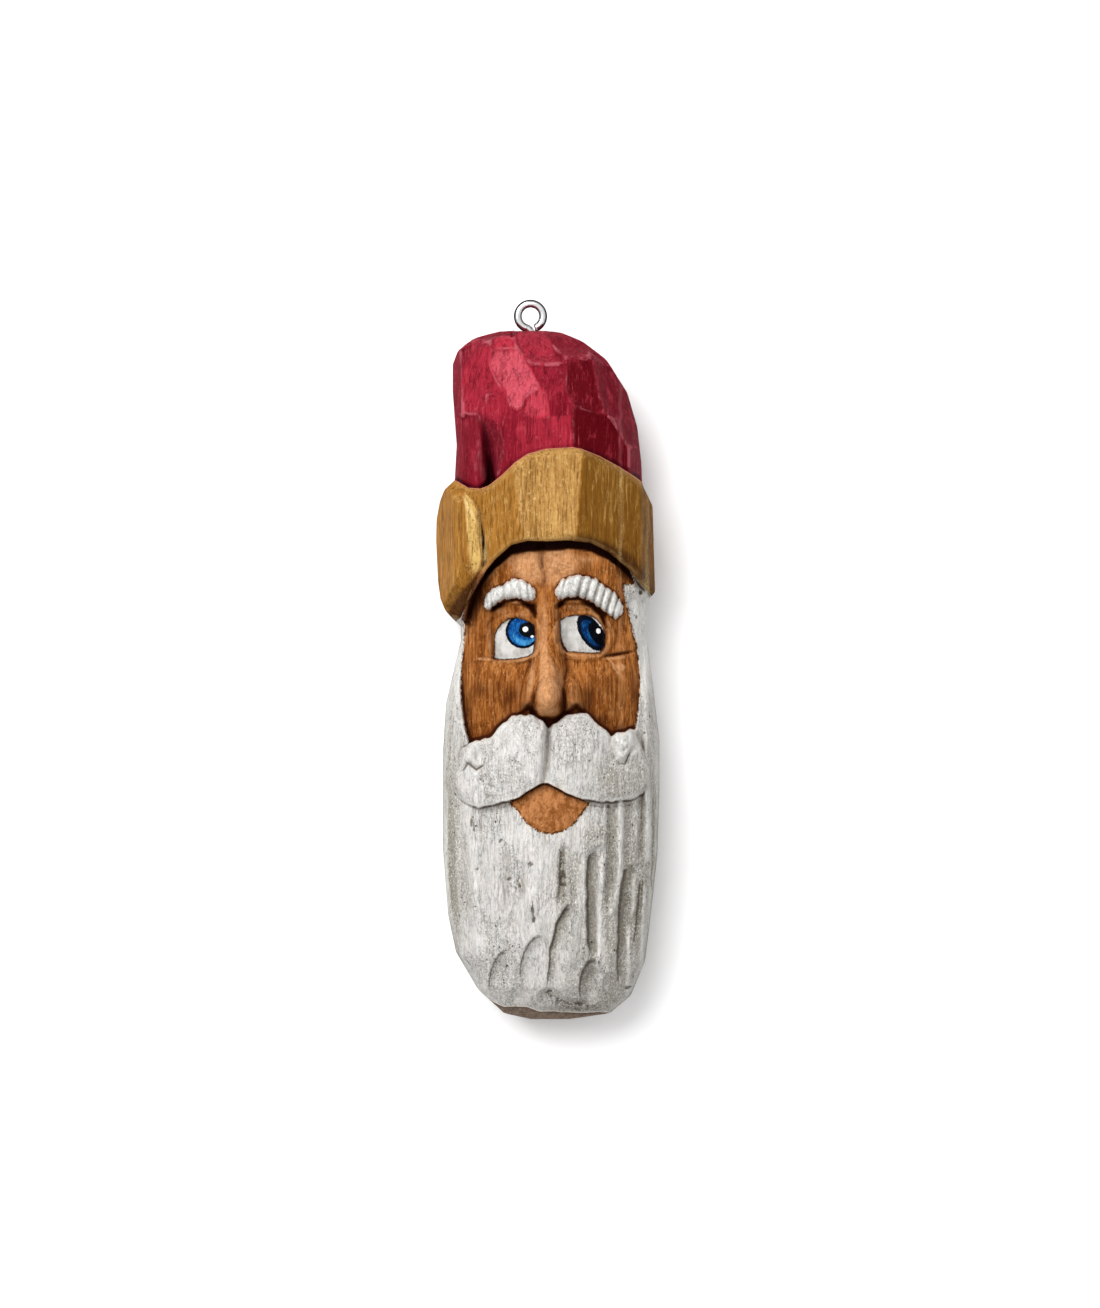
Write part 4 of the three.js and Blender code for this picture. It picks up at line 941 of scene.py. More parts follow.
GREYS = [
    (64, 244, 30, 24, 0.6), (90, 130, 25, 110, 0.75), (63, 72, 9, 62, 0.6), (48, 186, 13, 10, 0.8),
    (13, 138, 5, 34, 0.6), (22, 120, 10, 56, 0.55), (24, 14, 26, 8, 1.2), (30, 40, 14, 18, 0.5),
    (-30, 30, 24, 14, 0.3), (60, 20, 34, 16, 0.6), (105, 300, 7, 60, 0.5), (-107, 170, 6, 120, 0.4),
    (-46, 62, 14, 9, 0.3), (2, 30, 10, 5, 0.6), (42, 46, 7, 22, 0.5), (62, 160, 7, 60, 0.35),
    (-98, 150, 10, 110, 1.2), (-105, 290, 5, 30, 0.4), (95, 388, 1.5, 8, 1.2), (40, 110, 6, 66, 0.35),
]
lights, stained_and_shaded, greyed_and_flute_shade = [
    sum(swell(painted_u, painted_v, *shape) for shape in patches) for patches in (WORN_AND_LIT_PATCHES, STAINED_AND_SHADED_PATCHES, GREYS)
]
# Painted highlights along the beard's ridges
for half, height, path in RIDGES:
    lights = lights + 0.85 * ridge(painted_u, painted_v, half, 1, path)
# Painted shade in each flute's bottom, next to its steep wall
for left, right, depth, path in FLUTES:
    gap, strength = beside(painted_u, painted_v, path, int(depth * 10))
    greyed_and_flute_shade = greyed_and_flute_shade + 0.8 * strength * min(depth / left, 1) * line(gap - 1, 5)
over_moustache = painted_v - along(MOUSTACHE_TOP, painted_u)
under_moustache = along(MOUSTACHE_BOTTOM, painted_u) - painted_v
beside_lip = ramp(34, 42, np.abs(painted_u - 1)) * ramp(100, 88, np.abs(painted_u))
# Beside the lip: a painted highlight just under the moustache's lower edge
lights = lights + 0.9 * beside_lip * line(under_moustache - 3, 1.2)
over_cuff = painted_v - along(CUFF_BOTTOM, painted_u)
# Painted shade along the cuff's lower edge on the right, where it rounds under
stained_and_shaded = stained_and_shaded + 0.75 * ramp(10, 0, over_cuff) * (over_cuff > 0) * ramp(0, 40, painted_u)
rimward = np.abs(across(painted_u, painted_v))
# Greyer, with a dark line, along the outline low on the beard
greyed_rim = ramp(0.93, 1, rimward) * ramp(110, 60, painted_v)
inland = on_front * ramp(0.004, 0.03, 1 - rimward)
UNITS_TO_MM = UNIT * 1000
values = {name: gap * UNITS_TO_MM for name, gap in paints(painted_u, painted_v).items()}
# How deep each spot lies below the wood round it, by which the finish darkens cuts and hollows as grime and
# painted shade
for name, reach in (("nick", 2.2), ("hollow", 7)):
    below = on_sheet(softened(sheet_height, reach) - sheet_height, painted_u, painted_v)
    values[name] = below * UNITS_TO_MM * inland
for name, sheet in (("pale_and_lit", sheet_pale_and_lit), ("milky", sheet_milky)):
    values[name] = on_sheet(softened(sheet, 0.7), painted_u, painted_v)
values["lights"], values["stained_and_shaded"] = lights * on_front, stained_and_shaded
values["greyed_and_flute_shade"] = (greyed_and_flute_shade + 1.2 * greyed_rim) * np.where(on_front, 1, 0.4)
doubled = 0.8 * beside_lip * line(under_moustache - 5.5, 1.2)
doubled = doubled * (0.6 + 0.4 * uneven(painted_u, painted_v, 9, 9, 16))
values["scored_and_shaded"] = np.max([scored_and_shaded(painted_u, painted_v), doubled, 0.5 * greyed_rim], axis=0) * inland
# Where the painted shadow under the cuff lies
values["shadow_under_cuff"] = rim_cut(painted_u, painted_v) * (over_cuff < 0)
values["lip"] = inwards(painted_u, painted_v, LIP_EDGE) * UNITS_TO_MM
values["pillow"] = ramp(0, 6, np.minimum(-under_moustache, -over_moustache)) * on_front
values["wall"] = line(np.minimum(np.abs(over_moustache), np.abs(under_moustache)), 1.5)
# Darker low on the sides, towards the back: grime and painted shade
values["low"] = ramp(46, 10, places[:, 2]) * ~on_front
for name in ("skin", "brow", "eye"):
    values[name] = np.where(on_front, values[name], -1)

for spot, (u, v, height) in zip(figure_shape.verts, places):
    fall = ramp(628, FIGURE_LENGTH, v) * HAT_TOP_FALL * max(HAT_TOP_HEIGHT - height, 0)
    spot.co = (u * UNIT, beard_end + (v - fall) * UNIT, height * UNIT)
for name in DRAWN:
    figure_shape.verts.layers.float.remove(figure_shape.verts.layers.float[name])


def taken_up(shape, mesh_name, name):
    """Make an object of a finished shape."""
    mesh = bpy.data.meshes.new(mesh_name)
    shape.to_mesh(mesh)
    shape.free()
    made = bpy.data.objects.new(name, mesh)
    bpy.context.collection.objects.link(made)
    return made


carving = taken_up(figure_shape, "carved_wood", "carved_santa")
carving.data.shade_smooth()
for name, numbers in values.items():
    layer = carving.data.attributes.new(name, "FLOAT", "POINT")
    layer.data.foreach_set("value", numbers.astype(np.float32))

# Finish of the wood: stains that let the long grain show, and a chalky white paint, with grime
# and painted shade darkening their cuts and hollows. Sizes are in millimetres.


def new_finish(name, piece):
    """Give a piece a material, to be built from these nodes, links, surface and places."""
    material = bpy.data.materials.new(name)
    material.use_nodes = True
    piece.data.materials.append(material)
    nodes, links = material.node_tree.nodes, material.node_tree.links
    return nodes, links, nodes["Principled BSDF"], nodes.new("ShaderNodeTexCoord").outputs["Object"]


nodes, links, surface, place = new_finish("painted_wood", carving)


def put(value, socket):
    if isinstance(value, bpy.types.NodeSocket):
        links.new(value, socket)
    else:
        socket.default_value = value


def fill(sockets, *numbers):
    for number, socket in zip(numbers, sockets):
        put(number, socket)


def calc(operation, *numbers):
    node = nodes.new("ShaderNodeMath")
    node.operation = operation
    fill(node.inputs, *numbers)
    return node.outputs[0]


def both(first, second):
    return calc("MULTIPLY", first, second)


def centred(value):
    return calc("SUBTRACT", value, 0.5)


def apart(first, second):
    return calc("ABSOLUTE", calc("SUBTRACT", first, second))


def most(value, *others):
    for other in others:
        value = calc("MAXIMUM", value, other)
    return value


def fade(value, low, high, start=0.0, end=1.0):
    node = nodes.new("ShaderNodeMapRange")
    node.interpolation_type = "SMOOTHSTEP"
    fill(node.inputs, value, low, high, start, end)
    return node.outputs[0]


OWN_SHARE = 0.8


def colour(red, green, blue):
    """Finish that looks this colour (0 to 255) where it faces the light."""
    parts = [part / 255 for part in (red, green, blue)]
    linear = [part / 12.92 if part < 0.04 else ((part + 0.055) / 1.055) ** 2.4 for part in parts]
    return (*[OWN_SHARE * part for part in linear], 1)


def tint(share, under, over):
    node = nodes.new("ShaderNodeMix")
    node.data_type = "RGBA"
    fill((node.inputs[0], *node.inputs[6:8]), share, under, over)
    return node.outputs[2]


def bumped(height):
    """Lay a height in millimetres on the surface as bump."""
    node = nodes.new("ShaderNodeBump")
    node.inputs["Distance"].default_value = 0.001
    put(height, node.inputs["Height"])
    links.new(node.outputs[0], surface.inputs["Normal"])


def layered(ground, *coats):
    """A ground colour and the coats over it, each one its share and its red, green and blue."""
    for share, *over in coats:
        ground = tint(share, ground, colour(*over))
    return ground


def speckle(wide, tall, deep, detail, rough, shift, warp=0.0):
    spread = nodes.new("ShaderNodeMapping")
    spread.inputs["Scale"].default_value = (1000 / wide, 1000 / tall, 1000 / deep)
    spread.inputs["Location"].default_value = (shift, shift * 1.7, shift * 0.6)
    links.new(place, spread.inputs["Vector"])
    node = nodes.new("ShaderNodeTexNoise")
    sockets = [node.inputs[name] for name in ("Vector", "Scale", "Detail", "Roughness", "Distortion")]
    fill(sockets, spread.outputs[0], 1, detail, rough, warp)
    return node.outputs[0]


def reading(name):
    node = nodes.new("ShaderNodeAttribute")
    node.attribute_name = name
    return node.outputs["Fac"]


def oval(middle_u, middle_v, wide, tall, turn):
    """Distance in from an oval's edge, in millimetres, seen from the front."""
    centre = Vector((middle_u * UNIT, beard_end + middle_v * UNIT, 0))
    spread = nodes.new("ShaderNodeMapping")
    spread.vector_type = "TEXTURE"
    spread.inputs["Location"].default_value = centre
    spread.inputs["Rotation"].default_value = (0, 0, math.radians(turn))
    spread.inputs["Scale"].default_value = (wide * UNIT, tall * UNIT, 1000)
    links.new(place, spread.inputs["Vector"])
    node = nodes.new("ShaderNodeVectorMath")
    node.operation = "LENGTH"
    links.new(spread.outputs[0], node.inputs[0])
    return calc("MULTIPLY", calc("SUBTRACT", 1.0, node.outputs["Value"]), min(wide, tall) * UNITS_TO_MM)


skin, crimson, gold, brows, eyes, bare = map(reading, ("skin", "crimson", "gold", "brow", "eye", "bare"))
nick, hollow, pale_and_lit, milky, worn_and_highlit = map(reading, ("nick", "hollow", "pale_and_lit", "milky", "lights"))
stained_and_shaded, greyed_and_flute_shade, low, lines, lips = map(reading, ("stained_and_shaded", "greyed_and_flute_shade", "low", "scored_and_shaded", "lip"))
ragged = speckle(0.5, 0.7, 5, 3, 0.7, 3)
fine_ragged = speckle(0.2, 0.25, 3, 2, 0.6, 9)
long_grain = speckle(0.8, 15, 1, 4, 0.7, 1, 0.9)
hair_grain = speckle(0.36, 6, 0.5, 3, 0.75, 5, 0.7)
cloud = speckle(5, 9, 5, 3, 0.55, 11)
patches = speckle(1.6, 2.6, 1.6, 4, 0.65, 15, 0.5)
pores = speckle(0.24, 1.6, 0.3, 2, 0.5, 21)
stipple = speckle(0.55, 0.65, 0.55, 4, 0.8, 31)
brushed = speckle(0.55, 5, 0.55, 4, 0.8, 41, 0.6)
specks = speckle(0.5, 0.6, 0.5, 1, 0.5, 51)
grit = speckle(0.28, 0.34, 0.28, 2, 0.7, 101)
cracked = apart(speckle(0.9, 4.5, 1, 3, 0.65, 71, 0.8), 0.5)
crazed = apart(speckle(0.8, 0.9, 0.9, 3, 0.7, 81, 0.6), 0.5)
fibre = apart(speckle(0.6, 9, 0.6, 2, 0.6, 91), 0.5)


def edge_of(distance, wobble, soft=0.03, roughness=None):
    shifted = calc("ADD", distance, both(centred(roughness or ragged), wobble))
    return fade(shifted, -soft, soft)


# White paint
rough = most(fade(cloud, 0.46, 0.6, 0.25, 1.0), fade(greyed_and_flute_shade, 0.1, 0.6))
pillow = reading("pillow")
combed = fade(pillow, 0, 1, 1, 0.25)
daubed = speckle(1.1, 1.5, 1.1, 4, 0.7, 111, 1.6)
gritty_lines = fade(calc("ADD", lines, both(centred(grit), 0.9)), 0.35, 0.75)
broken_lines = both(gritty_lines, fade(lines, 0.1, 0.4))
# Lighter on raised spots: wear and painted highlight
rubbed_and_highlit = both(fade(nick, -0.05, -0.3), fade(patches, 0.35, 0.6, 0.15, 1.0))
pits = both(fade(specks, 0.7, 0.74), fade(calc("ADD", cloud, both(greyed_and_flute_shade, 0.12)), 0.46, 0.6))
white = layered(
    colour(227, 222, 218),
    (fade(patches, 0.38, 0.62), 212, 211, 209),
    (fade(brushed, 0.5, 0.72, 0, 0.45), 170, 165, 156),
    (both(fade(hair_grain, 0.52, 0.68, 0, 0.66), combed), 146, 140, 128),
    (both(fade(hair_grain, 0.45, 0.3, 0, 0.5), combed), 238, 236, 232),
    (both(fade(daubed, 0.5, 0.64, 0, 0.5), pillow), 198, 195, 190),
    (both(fade(daubed, 0.5, 0.36, 0, 0.6), pillow), 240, 239, 236),
    # Greyer patches, and painted shade in the flutes
    (both(greyed_and_flute_shade, fade(brushed, 0.3, 0.65, 0.45, 0.9)), 160, 155, 142),
    (both(fade(stipple, 0.52, 0.68, 0, 0.65), rough), 136, 131, 117),
    (both(fade(grit, 0.52, 0.66, 0, 0.55), rough), 122, 116, 102),
    (both(fade(grit, 0.46, 0.32, 0, 0.8), rough), 240, 239, 234),
    # Wear and painted highlight on high spots
    (both(fade(worn_and_highlit, 0.15, 0.9, 0, 0.85), fade(stipple, 0.35, 0.65, 1.0, 0.6)), 238, 236, 231),
    (both(fade(fibre, 0.03, 0.0), fade(cloud, 0.42, 0.56, 0.1, 0.7)), 136, 128, 118),
    (both(fade(cracked, 0.03, 0.0), fade(patches, 0.5, 0.62, 0, 0.5)), 112, 103, 92),
    (both(fade(crazed, 0.03, 0.0), fade(patches, 0.52, 0.42, 0, 0.2)), 128, 120, 110),
    # Grime and painted shade in the hollows
    (both(both(fade(hollow, 0.02, 0.5), fade(stipple, 0.3, 0.6, 0.5, 1.0)), 0.6), 134, 127, 116),
    # Grime and painted shade in the cuts
    (fade(nick, 0.1, 0.45, 0, 0.85), 92, 72, 54),
    # Dark cracks and chips, and painted shade on flute walls, scoop rims and brow notches
    (both(broken_lines, 0.75), 92, 82, 68),
    # Wear and painted highlight on raised spots
    (both(rubbed_and_highlit, 0.45), 238, 237, 234),
    (both(pits, 0.9), 58, 50, 44),
    # Darker low on the sides: grime and painted shade
    (both(low, fade(brushed, 0.3, 0.65, 0.35, 0.8)), 150, 142, 130))

# Brown stain on the face
brown = layered(
    colour(134, 74, 24),
    (fade(long_grain, 0.38, 0.6), 182, 114, 56),
    (fade(patches, 0.5, 0.66, 0, 0.45), 112, 58, 18),
    (fade(patches, 0.46, 0.32, 0, 0.45), 206, 142, 84),
    (fade(hair_grain, 0.5, 0.66, 0, 0.8), 88, 42, 10),
    (fade(hair_grain, 0.45, 0.31, 0, 0.65), 218, 152, 90),
    (fade(brushed, 0.54, 0.7, 0, 0.55), 104, 50, 14),
    (both(fade(fibre, 0.035, 0.0), fade(cloud, 0.4, 0.56, 0.2, 0.8)), 80, 38, 12),
    (fade(pores, 0.64, 0.74, 0, 0.5), 70, 32, 12))
leather = layered(
    colour(188, 126, 78),
    (fade(patches, 0.4, 0.6), 140, 84, 38),
    (fade(stipple, 0.5, 0.64, 0, 0.7), 116, 64, 26),
    (fade(stipple, 0.44, 0.3, 0, 0.6), 210, 150, 100))
flecks = both(fade(specks, 0.64, 0.7), fade(patches, 0.42, 0.56))
broken_nick = calc("ADD", nick, both(centred(ragged), 0.3))
painted_shadow_under_cuff = both(reading("shadow_under_cuff"), fade(stipple, 0.3, 0.62, 1.0, 0.9))
brown = layered(
    tint(edge_of(lips, 0.2, 0.1), brown, leather),
    # Wear and painted highlight on high spots
    (both(fade(worn_and_highlit, 0.15, 0.9), fade(stipple, 0.34, 0.6, 0.95, 0.4)), 220, 164, 116),
    # Wear and painted highlight on raised spots
    (both(rubbed_and_highlit, 0.55), 218, 162, 112),
    (both(flecks, 0.35), 218, 164, 110),
    # Grime and painted shade in the hollows
    (both(fade(hollow, 0.2, 1.3), 0.55), 92, 42, 16),
    # Pooled stain and painted shade in patches
    (both(fade(stained_and_shaded, 0.1, 0.95), fade(hair_grain, 0.3, 0.7, 0.7, 0.95)), 62, 26, 10),
    # Grime and painted shade in the cuts
    (fade(broken_nick, 0.14, 0.45, 0, 0.9), 66, 26, 14),
    # Painted shadow under the cuff
    (fade(painted_shadow_under_cuff, 0.1, 0.6, 0, 0.9), 74, 32, 16),
    (fade(painted_shadow_under_cuff, 0.35, 0.95), 28, 8, 4))

# Gold on the cuff and the tassel
metal = layered(
    colour(122, 80, 24),
    # Paler with each facet's stain and its painted light
    (fade(pale_and_lit, 0.1, 0.5), 168, 114, 46),
    (fade(pale_and_lit, 0.5, 0.85), 194, 148, 84),
    (fade(pale_and_lit, 0.85, 1.0), 222, 184, 108),
    (fade(long_grain, 0.44, 0.64, 0, 0.4), 124, 80, 26),
    (fade(long_grain, 0.44, 0.28, 0, 0.3), 214, 168, 96),
    (fade(brushed, 0.52, 0.68, 0, 0.5), 120, 78, 26),
    (fade(brushed, 0.47, 0.32, 0, 0.45), 218, 174, 102),
    (fade(patches, 0.52, 0.68, 0, 0.35), 142, 96, 38),
    (both(fade(patches, 0.46, 0.32, 0, 0.45), fade(pale_and_lit, 0.2, 0.8, 0.3, 1.0)), 216, 174, 106),
    (fade(hair_grain, 0.5, 0.66, 0, 0.75), 98, 60, 18),
    (both(fade(fibre, 0.035, 0.0), fade(cloud, 0.4, 0.56, 0.2, 0.6)), 92, 56, 16),
    (both(fade(stipple, 0.54, 0.7, 0, 0.7), fade(pale_and_lit, 0.3, 0.9, 0.0, 1.0)), 226, 190, 124),
    (both(fade(stipple, 0.46, 0.32, 0, 0.8), fade(pale_and_lit, 0.3, 0.9, 0.15, 1.0)), 140, 94, 38),
    # Pooled stain and painted shade in patches
    (both(fade(stained_and_shaded, 0.1, 0.95), fade(hair_grain, 0.3, 0.7, 0.75, 0.95)), 60, 28, 10),
    # Grime and painted shade in the hollows
    (fade(hollow, 0.15, 1.1), 80, 42, 14),
    # Grime and painted shade in the cuts
    (fade(broken_nick, 0.1, 0.4), 56, 24, 10),
    # Wear and painted highlight on high spots
    (both(fade(worn_and_highlit, 0.2, 0.9, 0, 0.8), fade(grit, 0.38, 0.6, 1.0, 0.35)), 238, 208, 146),
    # Wear and painted highlight on raised spots
    (both(rubbed_and_highlit, 0.18), 226, 184, 118),
    # Darker low on the sides: grime and painted shade
    (both(low, 0.6), 112, 84, 48))

# Crimson on the hat
red = layered(
    colour(92, 4, 14),
    # Paler with each facet's stain and its painted light
    (fade(pale_and_lit, 0.04, 0.3), 132, 20, 38),
    (fade(pale_and_lit, 0.3, 0.6), 182, 46, 64),
    (fade(pale_and_lit, 0.6, 1.0), 214, 92, 106),
    # Painted milky sheen
    (both(milky, fade(cloud, 0.3, 0.7, 0.6, 0.85)), 118, 32, 46),
    (fade(long_grain, 0.46, 0.66, 0, 0.5), 98, 8, 20),
    (fade(long_grain, 0.42, 0.26, 0, 0.3), 200, 66, 84),
    (fade(patches, 0.54, 0.68, 0, 0.4), 112, 12, 28),
    (fade(patches, 0.44, 0.32, 0, 0.3), 196, 66, 82),
    (fade(hair_grain, 0.52, 0.7, 0, 0.75), 76, 4, 14),
    (fade(hair_grain, 0.44, 0.28, 0, 0.4), 206, 78, 92),
    (both(fade(stipple, 0.56, 0.72, 0, 0.5), fade(pale_and_lit, 0, 1, 0.1, 1)), 220, 126, 138),
    (both(fade(stipple, 0.46, 0.3, 0, 0.6), fade(pale_and_lit, 0.5, 1, 0.1, 1)), 168, 52, 68),
    (both(fade(cracked, 0.025, 0.0), fade(patches, 0.48, 0.6, 0, 0.75)), 64, 4, 12),
    # Lighter along raised facet edges: wear and painted highlight
    (both(fade(nick, -0.03, -0.16), fade(patches, 0.4, 0.6, 0, 0.5)), 204, 108, 120),
    # Wear and painted highlight on high spots
    (both(fade(worn_and_highlit, 0.2, 0.9), 0.6), 214, 120, 132),
    # Pooled stain and painted shade in patches
    (fade(stained_and_shaded, 0.1, 0.9, 0, 0.8), 44, 2, 10),
    # Grime and painted shade in the cuts
    (fade(nick, 0.03, 0.3, 0, 0.3), 70, 6, 16),
    # Grime and painted shade in the hollows
    (fade(hollow, 0.7, 1.9), 44, 2, 9),
    # Darker low on the sides: grime and painted shade
    (both(low, 0.5), 92, 40, 48))

# Bare end grain
timber = layered(
    colour(150, 130, 114),
    (fade(long_grain, 0.35, 0.7), 110, 92, 76),
    (fade(stipple, 0.5, 0.7, 0, 0.6), 78, 64, 54),
    (fade(bare, 0.35, 0.05, 0, 0.6), 84, 62, 48))

# Eyes and brows: the painted ovals are (u, v, wide, tall, turn), left eye first.
IRISES = [(-25, 387.5, 17, 17, 0), (43, 386, 10.8, 20.5, 33)]
PUPILS = [(-19.5, 389, 9.5, 7.6, 0), (49, 385, 7, 13, 30)]
GLINTS = [
    (-22.4, 389.6, 2.8, 2.6, 0), (50, 387.8, 2.2, 2.7, 20), (-15.8, 382.4, 1.5, 1.3, 0),
    (52, 394, 1.3, 1.3, 0),
]
CRESCENT, CRESCENT_INSIDE = (-23, 385, 14, 13.5, 0), (-22, 391, 15, 13, 0)
LIT_STREAK = (38.5, 388, 3, 13, 26)
eye_white = layered(
    colour(214, 213, 210),
    (fade(patches, 0.42, 0.62), 184, 182, 176),
    (fade(stipple, 0.52, 0.7, 0, 0.5), 156, 153, 147))
iris_left, iris_right = [oval(*shape) for shape in IRISES]
iris = most(iris_left, iris_right)
strokes = speckle(0.35, 0.8, 0.35, 3, 0.7, 61, 1.0)
bright_crescent = both(fade(oval(*CRESCENT), 0.1, 0.4), fade(oval(*CRESCENT_INSIDE), 0.3, -0.1))
blue = layered(
    colour(4, 50, 114),
    (fade(strokes, 0.4, 0.6), 26, 102, 170),
    (both(bright_crescent, fade(strokes, 0.35, 0.6, 0.4, 1.0)), 68, 152, 210),
    (fade(iris_right, -0.2, 0.2, 0, 0.75), 4, 28, 66),
    (both(fade(oval(*LIT_STREAK), 0.0, 0.3), fade(strokes, 0.42, 0.56)), 22, 92, 150))
eye_white = tint(edge_of(iris, 0.3, 0.03, fine_ragged), eye_white, colour(6, 12, 26))
rim_depth = fade(iris_right, -0.2, 0.2, 0.38, 0.46)
eye_white = tint(edge_of(calc("SUBTRACT", iris, rim_depth), 0.34, 0.05, fine_ragged), eye_white, blue)
pupil, glint = [most(*[oval(*shape) for shape in shapes]) for shapes in (PUPILS, GLINTS)]
eye_white = layered(
    eye_white,
    (edge_of(pupil, 0.26, 0.05, fine_ragged), 5, 7, 14),
    (edge_of(glint, 0.12, 0.03, fine_ragged), 250, 250, 250))
brow_white = layered(
    colour(255, 254, 250),
    (fade(brushed, 0.42, 0.66), 218, 215, 209),
    (fade(grit, 0.5, 0.68, 0, 0.6), 170, 165, 157),
    # Painted shade in the cuts of the brows
    (fade(nick, 0.02, 0.22, 0, 0.5), 158, 154, 148),
    # Painted shade in the brow's notches
    (both(fade(lines, 0.1, 0.8), fade(stipple, 0.3, 0.6, 0.6, 0.95)), 142, 137, 130),
    (both(fade(brows, 0.22, 0.05), fade(ragged, 0.42, 0.6, 0, 0.9)), 238, 214, 198))

# Where each finish lies on the wood, with the ragged lines that the brush left between them
wall = reading("wall")
in_skin = edge_of(skin, fade(wall, 0, 0.9, 0.42, 0.08))
in_gold = edge_of(gold, 0.1)
in_crimson = edge_of(crimson, 0.08)
in_brow = edge_of(brows, 1.1)
in_eye = edge_of(eyes, 0.2, 0.03, fine_ragged)
in_bare = edge_of(bare, 0.25)
rim_middle = fade(wall, 0, 0.9, 0.05, 0.2)
ragged_rim = both(fade(apart(skin, rim_middle), 0.34, 0.1), fade(ragged, 0.46, 0.54))
cream_rim = both(fade(apart(skin, -0.12), 0.28, 0.08), fade(fine_ragged, 0.55, 0.6))
finish = layered(
    tint(in_skin, white, brown),
    (both(ragged_rim, 0.9), 58, 28, 14),
    (both(cream_rim, fade(skin, 0.0, -0.06, 0, 0.8)), 242, 222, 188))
eye_rim = both(fade(apart(eyes, 0), 0.16, 0.04), fade(ragged, 0.4, 0.56, 0.25, 0.85))
finish = layered(tint(in_eye, finish, eye_white), (both(eye_rim, in_skin), 44, 20, 12))
for share, over in ((in_brow, brow_white), (in_gold, metal), (in_crimson, red)):
    finish = tint(share, finish, over)
seam = both(fade(apart(crimson, 0), 0.2, 0.05), fade(ragged, 0.3, 0.6, 0.4, 1))
seam = both(seam, fade(nick, 0.12, -0.04))
finish = layered(finish, (both(seam, in_gold), 222, 142, 112))
paint_lip = both(fade(apart(bare, -0.1), 0.14, 0.04), fade(ragged, 0.3, 0.5, 0.4, 1))
finish = layered(tint(in_bare, finish, timber), (both(paint_lip, 0.7), 232, 222, 212))
links.new(finish, surface.inputs["Base Color"])

painted = most(in_brow, calc("SUBTRACT", 1.0, most(in_gold, in_crimson, in_skin)))
gloss = fade(painted, 0, 1, 0.46, 0.7)
gloss = calc("ADD", gloss, both(centred(stipple), 0.25))
gloss = calc("MULTIPLY_ADD", in_eye, -0.3, gloss)
surface.inputs["Specular IOR Level"].default_value = 0.02
links.new(gloss, surface.inputs["Roughness"])
grain_height = both(calc("ADD", long_grain, hair_grain), 0.12)
grain_height = calc("MULTIPLY_ADD", stipple, 0.07, grain_height)
grain_height = calc("SUBTRACT", grain_height, fade(pores, 0.62, 0.74, 0, 0.03))
paint_height = both(both(grit, rough), 0.3)
for share, amount in ((brushed, 0.16), (pits, -0.08), (fade(cracked, 0.03, 0.0), -0.05)):
    paint_height = calc("MULTIPLY_ADD", share, amount, paint_height)
height = nodes.new("ShaderNodeMix")
fill((height.inputs[0], *height.inputs[2:4]), painted, grain_height, paint_height)
bumped(height.outputs[0])

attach(carving, "root")
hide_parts("carved_figure")

# SCREW EYE
# One piece of bright plated steel wire: a straight shank turned into the hat's top, bent to the
# left and carried round into a ring that ends beside its own neck.

WIRE_RADIUS = 0.0006
RING_RADIUS = 0.0019
BEND_RADIUS = 0.0008
SHANK_LENGTH = 0.0065
RING_END = 336
END_CUT = 0.00066
END_ROUNDING = 0.00012
EYE_PLACE = (-17.5, 60)
low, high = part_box("screw_eye")
ring_centre = Vector((EYE_PLACE[0] * UNIT, high.y - RING_RADIUS - WIRE_RADIUS, EYE_PLACE[1] * UNIT))
bend_below = math.sqrt((RING_RADIUS + BEND_RADIUS) ** 2 - BEND_RADIUS ** 2)
ring_start = math.degrees(math.atan2(BEND_RADIUS, bend_below))

eye_shape = bmesh.new()
foot = Matrix.Translation(ring_centre - Vector((0, RING_RADIUS + SHANK_LENGTH, 0)))
upright = foot @ Matrix.Rotation(math.radians(-90), 4, "X")
bmesh.ops.create_circle(eye_shape, cap_ends=True, segments=28, radius=WIRE_RADIUS, matrix=upright)


def grown_from(faces):
    """Draw the wire on from its end, and give back the new end and its spots."""
    grown = bmesh.ops.extrude_face_region(eye_shape, geom=faces)["geom"]
    kinds = bmesh.types.BMFace, bmesh.types.BMVert
    return [[part for part in grown if isinstance(part, kind)] for kind in kinds]


def sweep(faces, centre, degrees, steps):
    """Carry the wire's end round a centre, and give back its new end."""
    turning = bmesh.ops.spin(
        eye_shape, geom=faces, cent=centre, axis=(0, 0, 1), angle=math.radians(degrees), steps=steps,
        use_duplicate=False)
    return [part for part in turning["geom_last"] if isinstance(part, bmesh.types.BMFace)]


end, spots = grown_from(list(eye_shape.faces))
bmesh.ops.translate(eye_shape, verts=spots, vec=(0, RING_RADIUS + SHANK_LENGTH - bend_below, 0))
end = sweep(end, ring_centre - Vector((BEND_RADIUS, bend_below, 0)), 90 - ring_start, 10)
end = sweep(end, ring_centre, ring_start - RING_END, 64)
end, spots = grown_from(end)
onward = Matrix.Rotation(math.radians(-RING_END), 3, "Z") @ Vector((-1, 0, 0))
for spot in spots:
    spot.co += onward * ((spot.co.x - ring_centre.x - END_CUT) / -onward.x)
bmesh.ops.remove_doubles(eye_shape, verts=eye_shape.verts, dist=0.000001)
bmesh.ops.bevel(
    eye_shape, geom=list(end[0].edges), affect="EDGES", offset=END_ROUNDING, segments=2, profile=0.5,
    material=-1)
bmesh.ops.recalc_face_normals(eye_shape, faces=eye_shape.faces)
hanger = taken_up(eye_shape, "bent_wire", "wire_screw_eye")
hanger.data.shade_smooth()

